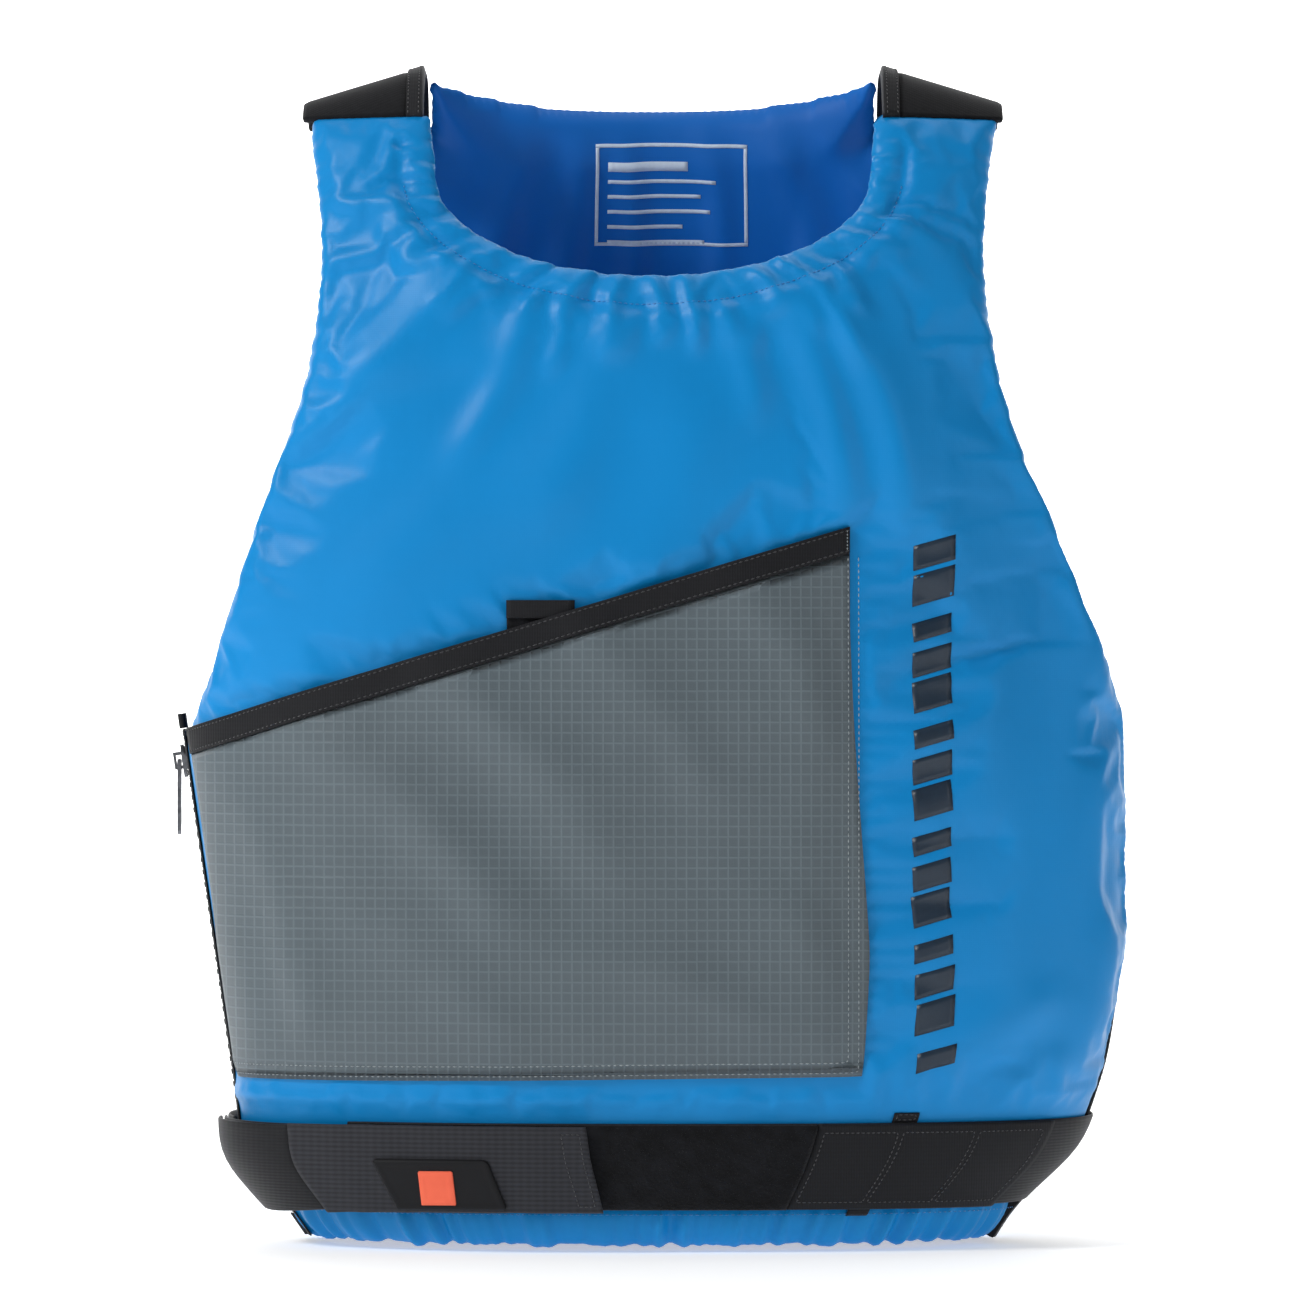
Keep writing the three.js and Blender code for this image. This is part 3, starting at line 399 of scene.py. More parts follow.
def gathers(front):
    """Short folds that fan out from the neck band and stand up from the belt."""
    folds = []
    if front:
        for angle in np.linspace(192, 348, 34):
            turn = math.radians(angle + rng.uniform(-2, 2))
            reach = rng.uniform(10, 34) * (1.6 if rng.random() < 0.25 else 1)
            x0, z0 = 128 * math.cos(turn), NECK_ARC_Z / MM + 66 * math.sin(turn)
            lean = turn + rng.uniform(-0.25, 0.25)
            folds.append((x0, z0, x0 + reach * math.cos(lean), z0 + reach * math.sin(lean),
                          rng.uniform(2.2, 4.2), rng.uniform(0.7, 1.9)))
    for x0 in np.linspace(-200, 206, 30 if front else 26):
        height = rng.uniform(8, 34)
        folds.append((x0, 64, x0 + rng.uniform(-8, 8), 66 + height, rng.uniform(3, 6), rng.uniform(0.6, 1.8)))
    return folds


def fold_height(x, z, folds):
    """Outward rise of the cloth at x and z, in metres, from all the folds."""
    total = np.zeros_like(x)
    for x0, z0, x1, z1, width, height in folds:
        ax, az, bx, bz = (value * MM for value in (x0, z0, x1, z1))
        run = math.hypot(bx - ax, bz - az)
        along_way = ((x - ax) * (bx - ax) + (z - az) * (bz - az)) / run
        bow = 0.06 * run * np.sin(np.clip(along_way / run, 0, 1) * math.pi)
        aside = ((x - ax) * (bz - az) - (z - az) * (bx - ax)) / run + bow
        share = np.clip(along_way / run, -0.25, 1.25)
        ends = np.clip(np.minimum(share + 0.25, 1.25 - share) / 0.45, 0, 1)
        ends = ends * ends * (3 - 2 * ends)
        total += height * MM * ends * np.exp(-0.5 * (aside / (width * MM)) ** 2)
    return total


def ripple(points, size, seed):
    """Smooth noise over points, about -1 to 1."""
    return np.array([noise.noise(Vector((x / size + seed, y / size, z / size))) for x, y, z in points])


# How a panel closes at each kind of edge: rim depth, then the radii outside and inside, in mm.
EDGES = {"neck": (-4.5, 15, 30), "arm": (-7, 17, 30), "side": (-9, 6, 8), "bottom": (-5, 12, 20),
         "strap": (-2.2, 5, 30)}


def armhole_points():
    """The front edge of the armhole from the armpit to the top of the strap, as x and z."""
    knots = [(CHEST_HALF + 3 * MM, ARMPIT_Z), (CHEST_HALF - 12 * MM, ARMPIT_Z + 40 * MM),
             (CHEST_HALF / 2 + 85.5 * MM, ARMPIT_Z + 103 * MM), (178 * MM, 444 * MM),
             (171 * MM, 502 * MM), (178 * MM, SHOULDER_Z)]
    x, z = np.array(knots).T
    fine = np.linspace(z[0], z[-1], 60)
    slopes = np.gradient(x, z)
    cell = np.clip(np.searchsorted(z, fine) - 1, 0, len(z) - 2)
    width = z[cell + 1] - z[cell]
    t = (fine - z[cell]) / width
    curve = ((2 * t**3 - 3 * t**2 + 1) * x[cell] + (t**3 - 2 * t**2 + t) * width * slopes[cell]
             + (3 * t**2 - 2 * t**3) * x[cell + 1] + (t**3 - t**2) * width * slopes[cell + 1])
    return curve, fine


def panel_edges(front, inset=0.0, low=None):
    """The closed outline of a body panel as pieces of (arc length, height), each with its kind."""
    low = (HEM_TOP + 0.4 * MM if low is None else low) + inset
    arm_x, arm_z = armhole_points()
    zip_y, stretch_y = 8.5 * MM + inset, -STRETCH_LOW.y + 0.5 * MM + inset
    right_z = np.linspace(low, ARMPIT_Z, 40)
    right = np.stack([arc_of_y(stretch_y, right_z), right_z], 1)
    left = np.stack([-arc_of_y(zip_y, right_z), right_z], 1)
    arm = np.stack([arc_of_x(arm_x - inset, arm_z), arm_z], 1)
    arm_right = np.stack([np.minimum(arm[:, 0], right[-1, 0]), arm[:, 1]], 1)
    arm_left = np.stack([-np.minimum(-arc_of_x(-(arm_x - inset), arm_z), -left[-1, 0]), arm[:, 1]], 1)
    if front:
        turn = np.linspace(0, math.pi, 60)
        neck_x = (NECK_X + inset) * np.cos(turn)
        neck_z = NECK_ARC_Z - (NECK_ARC_Z - NECK_Z + inset) * np.sin(turn)
        neck_x = np.concatenate([[NECK_TOP_X - 4 * MM + inset], neck_x, [-NECK_TOP_X + 4 * MM - inset]])
        neck_z = np.concatenate([[SHOULDER_Z - inset], neck_z, [SHOULDER_Z - inset]])
    else:
        share = np.linspace(1, -1, 60)
        neck_x = share * (NECK_TOP_X + inset)
        neck_z = NECK_BACK_Z - inset + 15 * MM * np.abs(share) ** 2.5
        neck_x = np.concatenate([[NECK_TOP_X + inset], neck_x, [-NECK_TOP_X - inset]])
        neck_z = np.concatenate([[SHOULDER_Z - inset], neck_z, [SHOULDER_Z - inset]])
        if inset > 0:
            neck_z = np.minimum(neck_z, SHOULDER_Z - inset)
    neck = np.stack([arc_of_x(neck_x, neck_z), neck_z], 1)
    keep = arm[:, 1] < SHOULDER_Z - inset - 1 * MM
    return [
        (np.array([left[0], right[0]]), "bottom"),
        (right, "side"),
        (arm_right[keep], "arm"),
        (np.array([[arm_right[keep][-1][0], SHOULDER_Z - inset], neck[0]]), "strap"),
        (neck, "neck"),
        (np.array([neck[-1], [arm_left[keep][-1][0], SHOULDER_Z - inset]]), "strap"),
        (arm_left[keep][::-1], "arm"),
        (left[::-1], "side"),
    ]


def resample(pieces, step):
    """Evenly spaced points round an outline, and the kind of edge at each."""
    points, kinds = [], []
    for line, kind in pieces:
        run = np.concatenate([[0], np.cumsum(np.linalg.norm(np.diff(line, axis=0), axis=1))])
        count = max(int(round(run[-1] / step)), 1)
        for s in np.arange(count) / count * run[-1]:
            spot = (float(np.interp(s, run, line[:, 0])), float(np.interp(s, run, line[:, 1])))
            if points and math.hypot(spot[0] - points[-1][0], spot[1] - points[-1][1]) < step * 0.3:
                continue
            points.append(spot)
            kinds.append(kind)
    return points, kinds


def inside(u, z, outline):
    """Even-odd test of many points against one outline."""
    result = np.zeros(len(u), bool)
    ring = np.array(outline)
    ahead = np.roll(ring, -1, axis=0)
    for (u0, z0), (u1, z1) in zip(ring, ahead):
        crosses = (z0 > z) != (z1 > z)
        if crosses.any():
            at = u0 + (z - z0) / (z1 - z0 if z1 != z0 else 1e-12) * (u1 - u0)
            result ^= crosses & (u < at)
    return result


def cloth_mesh(pieces, step):
    """Points, triangles, edge distance and edge kind of a sheet of cloth cut to an outline."""
    rim, kinds = resample(pieces, step)
    ring = np.array(rim)
    low, high = ring.min(axis=0), ring.max(axis=0)
    rows = np.arange(low[1], high[1], step * 0.87)
    spots = np.array([(u + (step / 2 if i % 2 else 0), z) for i, z in enumerate(rows)
                      for u in np.arange(low[0], high[0], step)])
    spots = spots[inside(spots[:, 0], spots[:, 1], rim)]
    tree = kdtree.KDTree(len(rim))
    for index, (u, z) in enumerate(rim):
        tree.insert((u, z, 0), index)
    tree.balance()
    spots = [s for s in spots if tree.find((s[0], s[1], 0))[2] > step * 0.6]
    coords = [Vector(p) for p in rim] + [Vector(p) for p in spots]
    ring_edges = [(i, (i + 1) % len(rim)) for i in range(len(rim))]
    verts, _, faces, *_ = delaunay_2d_cdt(coords, ring_edges, [], 1, 1e-7)
    if len(verts) != len(coords):
        raise RuntimeError("the outline of a body panel crosses itself")
    uz = np.array([tuple(v) for v in coords])
    nearest = [tree.find_n((u, z, 0), 10) for u, z in uz]
    return uz, [tuple(f) for f in faces], nearest, kinds, len(rim)


def rounded(distance, radius):
    share = np.clip(distance / radius, 0, 1)
    return np.sqrt(1 - (1 - share) ** 2)


def simulate_puff(obj, pinned, cap):
    """Blows the free cloth of a panel up a little, lets it wrinkle, and keeps the result."""
    mesh = obj.data
    start = np.empty(len(mesh.vertices) * 3)
    mesh.vertices.foreach_get("co", start)
    start = start.reshape(-1, 3)
    group = obj.vertex_groups.new(name="sewn")
    for index, weight in enumerate(pinned):
        if weight > 0.02:
            group.add([index], float(weight), "REPLACE")
    cloth = obj.modifiers.new("Cloth", "CLOTH")
    wear = cloth.settings
    wear.quality = 6
    wear.mass = 0.25
    wear.tension_stiffness = wear.compression_stiffness = 18
    wear.shear_stiffness = 6
    wear.bending_stiffness = 0.35
    wear.shrink_min = wear.shrink_max = -0.03
    wear.use_pressure = True
    wear.uniform_pressure_force = 1.6
    wear.effector_weights.gravity = 0
    wear.vertex_group_mass = "sewn"
    wear.pin_stiffness = 4
    last = sizes().puff_frames
    cloth.point_cache.frame_start, cloth.point_cache.frame_end = 1, last
    scene = bpy.context.scene
    for frame_number in range(1, last + 1):
        scene.frame_set(frame_number)
    shown = obj.evaluated_get(bpy.context.evaluated_depsgraph_get()).data
    moved = np.empty_like(start).reshape(-1)
    shown.vertices.foreach_get("co", moved)
    moved = moved.reshape(-1, 3)
    obj.modifiers.remove(cloth)
    scene.frame_set(1)
    shift = moved - start
    reach = np.linalg.norm(shift, axis=1, keepdims=True)
    shift *= np.minimum(1, cap / np.maximum(reach, 1e-9)) * (1 - np.asarray(pinned))[:, None]
    if not np.isfinite(shift).all():
        raise RuntimeError(f"{obj.name}: the cloth simulation ran away")
    mesh.vertices.foreach_set("co", (start + shift).reshape(-1))
    mesh.update()


def subdivide(obj, levels=1):
    modifier = obj.modifiers.new("Subdivision", "SUBSURF")
    modifier.levels = modifier.render_levels = levels


def covered(x, z, front):
    """1 where a pocket or the belt lies on the shell, falling to 0 beside it."""
    soft = 10 * MM
    belt = np.clip((BELT_HIGH.z + 3 * MM + soft - z) / soft, 0, 1)
    if not front:
        return belt
    mouth = mouth_height(x)
    inner = np.minimum.reduce([POCKET_HIGH.x - x, z - POCKET_LOW.z, mouth - z])
    return np.maximum(belt, np.clip(inner / soft + 0.5, 0, 1))


def mouth_height(x):
    """Height of the pocket's slanted mouth at x, from the ends of its binding."""
    share = (x - BINDING_LOW.x) / (POCKET_HIGH.x - BINDING_LOW.x)
    low = BINDING_LOW.z + 13 * MM
    return low + share * (BINDING_HIGH.z + 3 * MM - low)


def neck_band_relief(x, z, nearest, kinds, edge_gap):
    """The sewn groove below the neck band, and the puckers its elastic pulls into the cloth."""
    at_neck = np.array([kinds[found[0][1]] == "neck" for found in nearest])
    turn = np.arctan2(z - NECK_ARC_Z, x * 0.5)
    fine = np.array([noise.noise(Vector((angle * 13.0, gap * 25, 4.0)))
                     for angle, gap in zip(turn, edge_gap)])
    seam = -2.6 * np.exp(-0.5 * ((edge_gap - 17 * MM) / (2.4 * MM)) ** 2)
    fade = np.clip(1 - edge_gap / (44 * MM), 0, 1)
    return np.where(at_neck & (z < NECK_ARC_Z + 20 * MM), seam + 5.4 * fine * fade, 0.0) * MM


def body_panel(name, front, shell, lining, folds):
    """Shell and lining sewn round the foam: one closed pad that thins at its edges."""
    step = sizes().grid
    uz, faces, nearest, kinds, rim_count = cloth_mesh(panel_edges(front), step)
    depth = sizes().panel_depth
    u, z = uz[:, 0], uz[:, 1]
    top_offset, low_offset, edge_gap = np.empty(len(u)), np.empty(len(u)), np.empty(len(u))
    for i, found in enumerate(nearest):
        weights = [1 / (hit[2] + 2 * MM) ** 3 for hit in found]
        rim = sum(w * EDGES[kinds[hit[1]]][0] for w, hit in zip(weights, found)) / sum(weights) * MM
        outside = sum(w * EDGES[kinds[hit[1]]][1] for w, hit in zip(weights, found)) / sum(weights) * MM
        within = sum(w * EDGES[kinds[hit[1]]][2] for w, hit in zip(weights, found)) / sum(weights) * MM
        gap = 0.0 if i < rim_count else found[0][2]
        top_offset[i] = rim * (1 - rounded(gap, outside))
        low_offset[i] = rim + (-depth - rim) * rounded(gap, within)
        edge_gap[i] = gap
    flat = base_points(u, z)
    x = flat[:, 0]
    if front:
        top_offset += neck_band_relief(x, z, nearest, kinds, edge_gap)
    free = np.clip(edge_gap / (7 * MM), 0, 1) * (1 - covered(x, z, front))
    scale = sizes().fold_height / (4 * MM)  # the fold tables are drawn at a height of 4 mm
    rise = fold_height(x, z, folds) * scale
    rise += 0.9 * MM * ripple(np.stack([x, flat[:, 1], z], 1), 0.06, 3.0 if front else 9.0)
    top = place(u, z, top_offset + rise * free, front)
    inner_rise = -3.0 * MM * np.abs(ripple(np.stack([x, flat[:, 1], z * 0.4], 1), 0.045, 17.0))
    inner_rise -= 1.7 * fold_height(x, z, NECK_CREASES)
    low = place(u, z, low_offset + inner_rise * np.clip(edge_gap / (25 * MM), 0, 1), front)
    count = len(u)
    index_low = np.arange(count) + count - rim_count
    index_low[:rim_count] = np.arange(rim_count)
    points = np.concatenate([top, low[rim_count:]])
    all_faces = faces + [tuple(int(index_low[v]) for v in reversed(f)) for f in faces]
    slots = [0] * len(faces) + [1] * len(faces)
    obj = mesh_object(name, points, all_faces, [shell, lining], slots)
    pinned = np.ones(len(points))
    pinned[:count] = 1 - np.clip(edge_gap / (9 * MM), 0, 1) * (1 - covered(x, z, front))
    simulate_puff(obj, pinned, 3.2 * MM)
    subdivide(obj)
    return obj


def foam_pad(name, front, offset, thickness, material):
    """One foam sheet, cut short of the seams all round."""
    inset = 28 * MM
    pieces = panel_edges(front, inset)
    uz, faces, _, _, rim_count = cloth_mesh(pieces, 14 * MM)
    top = place(uz[:, 0], uz[:, 1], offset, front)
    low = place(uz[:, 0], uz[:, 1], offset - thickness, front)
    count = len(uz)
    all_faces = faces + [tuple(v + count for v in reversed(f)) for f in faces]
    all_faces += [(i, (i + 1) % rim_count, (i + 1) % rim_count + count, i + count) for i in range(rim_count)]
    return mesh_object(name, np.concatenate([top, low]), all_faces, [material])


# ---- Materials -------------------------------------------------------------------------------

def add_node(tree, kind, settings=(), **links):
    """Adds a node, sets its properties or sockets, and links sockets by name."""
    item = tree.nodes.new(kind)
    for key, value in dict(settings).items():
        if isinstance(key, int) or key in item.inputs:
            item.inputs[key].default_value = value
        else:
            setattr(item, key, value)
    for key, source in links.items():
        socket = item.inputs[int(key[1:])] if key[0] == "i" and key[1:].isdigit() else item.inputs[key]
        tree.links.new(source, socket)
    return item


def shader(name, colour, roughness, **sockets):
    """A material with its Principled shader, and Object coordinates in metres."""
    material = bpy.data.materials.new(name)
    material.use_nodes = True
    tree = material.node_tree
    surface = tree.nodes["Principled BSDF"]
    surface.inputs["Base Color"].default_value = (*colour, 1)
    surface.inputs["Roughness"].default_value = roughness
    for key, value in sockets.items():
        surface.inputs[key.replace("_", " ")].default_value = value
    coords = add_node(tree, "ShaderNodeTexCoord").outputs["Object"]
    return material, tree, surface, coords


def noise_map(tree, coords, per_metre, detail=3, stretch=(1, 1, 1)):
    mapped = add_node(tree, "ShaderNodeMapping", {"Scale": stretch}, Vector=coords).outputs[0]
    return add_node(tree, "ShaderNodeTexNoise", {"Scale": per_metre, "Detail": detail},
                    Vector=mapped).outputs["Fac"]


def ribs(tree, coords, axis, spacing):
    """Sine ridges across an axis, spacing metres apart, from 0 to 1."""
    place_of = add_node(tree, "ShaderNodeSeparateXYZ", Vector=coords).outputs[axis]
    turn = add_node(tree, "ShaderNodeMath", {"operation": "MULTIPLY", 1: 2 * math.pi / spacing}, i0=place_of)
    wave = add_node(tree, "ShaderNodeMath", {"operation": "SINE"}, i0=turn.outputs[0])
    return add_node(tree, "ShaderNodeMath", {"operation": "MULTIPLY_ADD", 1: 0.5, 2: 0.5},
                    i0=wave.outputs[0]).outputs[0]


def math_node(tree, operation, first, second):
    """Joins two values, each a socket or a number."""
    item = add_node(tree, "ShaderNodeMath", {"operation": operation})
    for index, value in enumerate((first, second)):
        if isinstance(value, (int, float)):
            item.inputs[index].default_value = value
        else:
            tree.links.new(value, item.inputs[index])
    return item.outputs[0]


def bump(tree, surface, height, distance, strength=1.0, under=None):
    item = add_node(tree, "ShaderNodeBump", {"Distance": distance, "Strength": strength}, Height=height)
    if under is not None:
        tree.links.new(under.outputs["Normal"], item.inputs["Normal"])
    tree.links.new(item.outputs["Normal"], surface.inputs["Normal"])
    return item


def tint(tree, surface, factor, dark, light, low=0.3, high=0.7):
    """Base colour between two tones, driven by a value."""
    ramp = add_node(tree, "ShaderNodeMapRange", {"From Min": low, "From Max": high}, Value=factor)
    mix = add_node(tree, "ShaderNodeMix", {"data_type": "RGBA", 6: (*dark, 1), 7: (*light, 1)},
                   Factor=ramp.outputs[0])
    tree.links.new(mix.outputs[2], surface.inputs["Base Color"])
    return mix


def shade(colour, factor):
    return tuple(min(c * factor, 1.0) for c in colour)


def coated_taffeta(name, colour, roughness=0.42, crumple=1.0):
    """Polyurethane-coated nylon taffeta: even, slightly shiny, with a faint crumple."""
    material, tree, surface, coords = shader(name, colour, roughness, Sheen_Weight=0.02,
                                             Sheen_Roughness=0.4, Specular_IOR_Level=0.26)
    thread = 1.1 * MM  # the real yarn is 0.3 mm, drawn coarse enough to show
    weave = math_node(tree, "MULTIPLY", ribs(tree, coords, 0, thread), ribs(tree, coords, 2, thread))
    fine = bump(tree, surface, weave, 0.05 * MM, 0.35)
    creases = noise_map(tree, coords, 34, 4, (1.0, 1.0, 0.55))
    bump(tree, surface, creases, 2.2 * MM * crumple, 0.30, fine)
    tint(tree, surface, noise_map(tree, coords, 9, 2), shade(colour, 0.93), shade(colour, 1.05))
    return material


def ripstop_nylon(name, colour):
    """Ripstop: plain cloth crossed every 5 mm by thick yarns, which catch the light as a grid; that light is
    painted into the colour as lighter lines.
    """
    material, tree, surface, coords = shader(name, colour, 0.5, Sheen_Weight=0.05, Specular_IOR_Level=0.3)
    grid = 5.2 * MM
    lines = math_node(tree, "MAXIMUM", math_node(tree, "POWER", ribs(tree, coords, 0, grid), 9.0),
                      math_node(tree, "POWER", ribs(tree, coords, 2, grid), 9.0))
    # painted highlight: the raised grid lines are painted lighter where the thick yarns catch the light
    tint(tree, surface, lines, shade(colour, 0.97), shade(colour, 1.28), 0.1, 1.0)
    raised = bump(tree, surface, lines, 0.25 * MM, 0.6)
    thread = 1.3 * MM
    weave = math_node(tree, "MULTIPLY", ribs(tree, coords, 0, thread), ribs(tree, coords, 2, thread))
    cloth = bump(tree, surface, weave, 0.06 * MM, 0.4, raised)
    bump(tree, surface, noise_map(tree, coords, 26, 4, (1, 1, 0.7)), 2.0 * MM, 0.3, cloth)
    return material


def jersey_neoprene(name, colour):
    """Neoprene faced with nylon jersey: soft, matt and finely grained."""
    material, tree, surface, coords = shader(name, colour, 0.85, Sheen_Weight=0.08, Sheen_Roughness=0.5,
                                             Specular_IOR_Level=0.15)
    knit = math_node(tree, "MULTIPLY", ribs(tree, coords, 0, 1.2 * MM), ribs(tree, coords, 1, 1.6 * MM))
    grain = bump(tree, surface, knit, 0.12 * MM, 0.5)
    bump(tree, surface, noise_map(tree, coords, 900, 2), 0.1 * MM, 0.3, grain)
    tint(tree, surface, noise_map(tree, coords, 400, 2), shade(colour, 0.8), shade(colour, 1.3))
    return material


def woven_tape(name, colour, axis=0, spacing=1.3 * MM, depth=0.16 * MM, roughness=0.7, gloss=0.04):
    """Grosgrain tape or webbing: fine ribs across a dense, satin weave, with painted shade in the grooves and
    painted highlight on the ribs.
    """
    material, tree, surface, coords = shader(name, colour, roughness, Sheen_Weight=gloss,
                                             Specular_IOR_Level=0.25)
    rib = ribs(tree, coords, axis, spacing)
    cross = ribs(tree, coords, 2 if axis == 0 else 0, spacing * 1.7)
    woven = math_node(tree, "ADD", math_node(tree, "MULTIPLY", rib, 0.7),
                      math_node(tree, "MULTIPLY", cross, 0.3))
    ridged = bump(tree, surface, woven, depth, 0.7)
    bump(tree, surface, noise_map(tree, coords, 700, 2), 0.08 * MM, 0.3, ridged)
    # painted shade and highlight: the colour follows the rib height, darker in the grooves and lighter on the
    # ribs
    tint(tree, surface, woven, shade(colour, 0.75), shade(colour, 1.35), 0.1, 0.9)
    return material


def loop_pile(name, colour):
    """Brushed loop of a hook-and-loop fastener: a matted, fuzzy nap that swallows light."""
    material, tree, surface, coords = shader(name, colour, 0.95, Sheen_Weight=0.10, Sheen_Roughness=0.6,
                                             Specular_IOR_Level=0.1)
    nap = noise_map(tree, coords, 520, 5)
    tufts = noise_map(tree, coords, 110, 3)
    matted = bump(tree, surface, tufts, 1.0 * MM, 0.6)
    bump(tree, surface, nap, 0.7 * MM, 0.9, matted)
    # painted shade and highlight: the colour follows the tufts' bump, darker in the hollows of the nap and
    # lighter on the tufts
    tint(tree, surface, tufts, shade(colour, 0.5), shade(colour, 1.7))
    return material


def hook_tape(name, colour):
    """Moulded hooks: a field of tiny stiff bristles in rows."""
    material, tree, surface, coords = shader(name, colour, 0.6, IOR=1.5)
    field = math_node(tree, "MULTIPLY", ribs(tree, coords, 0, 1.4 * MM), ribs(tree, coords, 2, 1.4 * MM))
    bump(tree, surface, field, 0.6 * MM, 0.8)
    # painted shade and highlight: the colour follows the hook rows, darker between them and lighter on their
    # tops
    tint(tree, surface, field, shade(colour, 0.6), shade(colour, 1.5), 0.1, 0.8)
    return material


def moulded_acetal(name, colour, roughness=0.3):
    """Injection-moulded acetal: hard, smooth and lightly scuffed."""
    material, tree, surface, coords = shader(name, colour, roughness, IOR=1.48, Coat_Weight=0.15)
    scuff = noise_map(tree, coords, 320, 4)
    ramp = add_node(tree, "ShaderNodeMapRange", {"To Min": roughness * 0.8, "To Max": roughness * 1.5},
                    Value=scuff)
    tree.links.new(ramp.outputs[0], surface.inputs["Roughness"])
    bump(tree, surface, scuff, 0.04 * MM, 0.3)
    return material


def gunmetal_zinc(name, colour):
    """Die-cast zinc with a black nickel finish, rubbed brighter on its high spots."""
    material, tree, surface, coords = shader(name, colour, 0.32, Metallic=1.0)
    wear = noise_map(tree, coords, 240, 4)
    tint(tree, surface, wear, shade(colour, 0.8), shade(colour, 1.6), 0.35, 0.75)
    ramp = add_node(tree, "ShaderNodeMapRange", {"To Min": 0.22, "To Max": 0.46}, Value=wear)
    tree.links.new(ramp.outputs[0], surface.inputs["Roughness"])
    return material


def moulded_rubber(name, colour, roughness=0.6):
    """Soft PVC rubber, moulded with a fine matt grain."""
    material, tree, surface, coords = shader(name, colour, roughness, Specular_IOR_Level=0.25)
    bump(tree, surface, noise_map(tree, coords, 1200, 2), 0.06 * MM, 0.5)
    tint(tree, surface, noise_map(tree, coords, 60, 2), shade(colour, 0.9), shade(colour, 1.1))
    return material


def cell_foam(name, colour):
    """Closed-cell polyethylene foam: pale, waxy and finely pitted."""
    material, tree, surface, coords = shader(name, colour, 0.7, Subsurface_Weight=0.1)
    pits = add_node(tree, "ShaderNodeTexVoronoi", {"Scale": 900.0}, Vector=coords).outputs["Distance"]
    bump(tree, surface, pits, 0.2 * MM, 0.5)
    # painted shade: the colour is darker in the pits, following their bump
    tint(tree, surface, pits, shade(colour, 0.85), colour, 0, 0.6)
    return material


def transfer_ink(name, colour, roughness=0.4):
    """Heat-transfer print: a thin smooth film that follows the cloth's weave."""
    material, tree, surface, coords = shader(name, colour, roughness, IOR=1.5)
    thread = 1.1 * MM
    weave = math_node(tree, "MULTIPLY", ribs(tree, coords, 0, thread), ribs(tree, coords, 2, thread))
    bump(tree, surface, weave, 0.05 * MM, 0.3)
    tint(tree, surface, noise_map(tree, coords, 300, 3), shade(colour, 0.92), shade(colour, 1.06))
    return material


def polyester_thread(name, colour):
    """Twisted polyester thread: thin, round and slightly glossy."""
    material, tree, surface, coords = shader(name, colour, 0.5, Sheen_Weight=0.3, IOR=1.5)
    tint(tree, surface, noise_map(tree, coords, 1500, 1), shade(colour, 0.8), shade(colour, 1.2))
    return material


STOCK = {}


def stock(name):
    """The vest's materials, each made once."""
    if not STOCK:
        paint = colours()
        black = tuple(paint.black)
        STOCK.update(
            shell=coated_taffeta("coated_nylon_taffeta", tuple(paint.shell)),
            # painted shade: the lining material is a darker copy of the shell's nylon, for the shadow inside
            # the vest
            lining=coated_taffeta("shaded_lining_taffeta", tuple(paint.lining), 0.55, 1.4),
            hem=coated_taffeta("gathered_taffeta", tuple(paint.shell), 0.45, 1.8),
            ripstop=ripstop_nylon("ripstop_nylon", tuple(paint.pocket)),
            neoprene=jersey_neoprene("jersey_neoprene", shade(black, 0.8)),
            tape=woven_tape("grosgrain_tape", black),
            webbing=woven_tape("nylon_webbing", black, 2, 1.6 * MM, 0.2 * MM, 0.62, 0.06),
            elastic=woven_tape("ribbed_elastic_webbing", tuple(paint.elastic), 2, 2.4 * MM, 0.5 * MM, 0.7),
            soft_elastic=woven_tape("braided_elastic", hex_colour("#D5D6D8")),
            pile=loop_pile("brushed_loop_pile", shade(black, 0.7)),
            hooks=hook_tape("moulded_hook_tape", black),
            acetal=moulded_acetal("moulded_acetal", shade(black, 0.9)),
            zinc=gunmetal_zinc("gunmetal_zinc", hex_colour("#6E7075")),
            rubber=moulded_rubber("moulded_pvc_rubber", shade(black, 0.8)),
            accent=moulded_rubber("coloured_pvc_rubber", tuple(paint.accent), 0.45),
            foam=cell_foam("closed_cell_foam", hex_colour("#D9DADB")),
            dark_ink=transfer_ink("dark_transfer_ink", tuple(paint.print_ink)),
            light_ink=transfer_ink("light_transfer_ink", tuple(paint.label_ink), 0.6),
            pale_thread=polyester_thread("pale_grey_thread", hex_colour("#98A2A6")),
            dark_thread=polyester_thread("black_thread", hex_colour("#2B2D31")),
            blue_thread=polyester_thread("blue_thread", hex_colour("#0F7CC4")),
        )
    return STOCK[name]


# ---- Pieces ----------------------------------------------------------------------------------

SURFACES = {}


def surface_of(front):
    """The finished outer and inner skin of a body panel, for what is sewn or printed on it."""
    if front not in SURFACES:
        obj = bpy.data.objects["front_panel" if front else "back_panel"]
        SURFACES[front] = BVHTree.FromObject(obj, bpy.context.evaluated_depsgraph_get())
    return SURFACES[front]


def onto_panel(u, z, front, gap, from_inside=False):
    """Points on a panel's skin, gap clear of it, from outside or from inside the vest."""
    start = place(u, z, -60 * MM if from_inside else 40 * MM, front)
    aim = place(u, z, 0.0, front) - start
    tree = surface_of(front)
    points = []
    for origin, way in zip(start.reshape(-1, 3), aim.reshape(-1, 3)):
        direction = Vector(way).normalized()
        hit, _, _, _ = tree.ray_cast(Vector(origin), direction, 0.09)
        if hit is None:
            raise RuntimeError("a printed or sewn line misses its panel")
        points.append(hit - direction * gap)
    return np.array([tuple(p) for p in points]).reshape(start.shape)


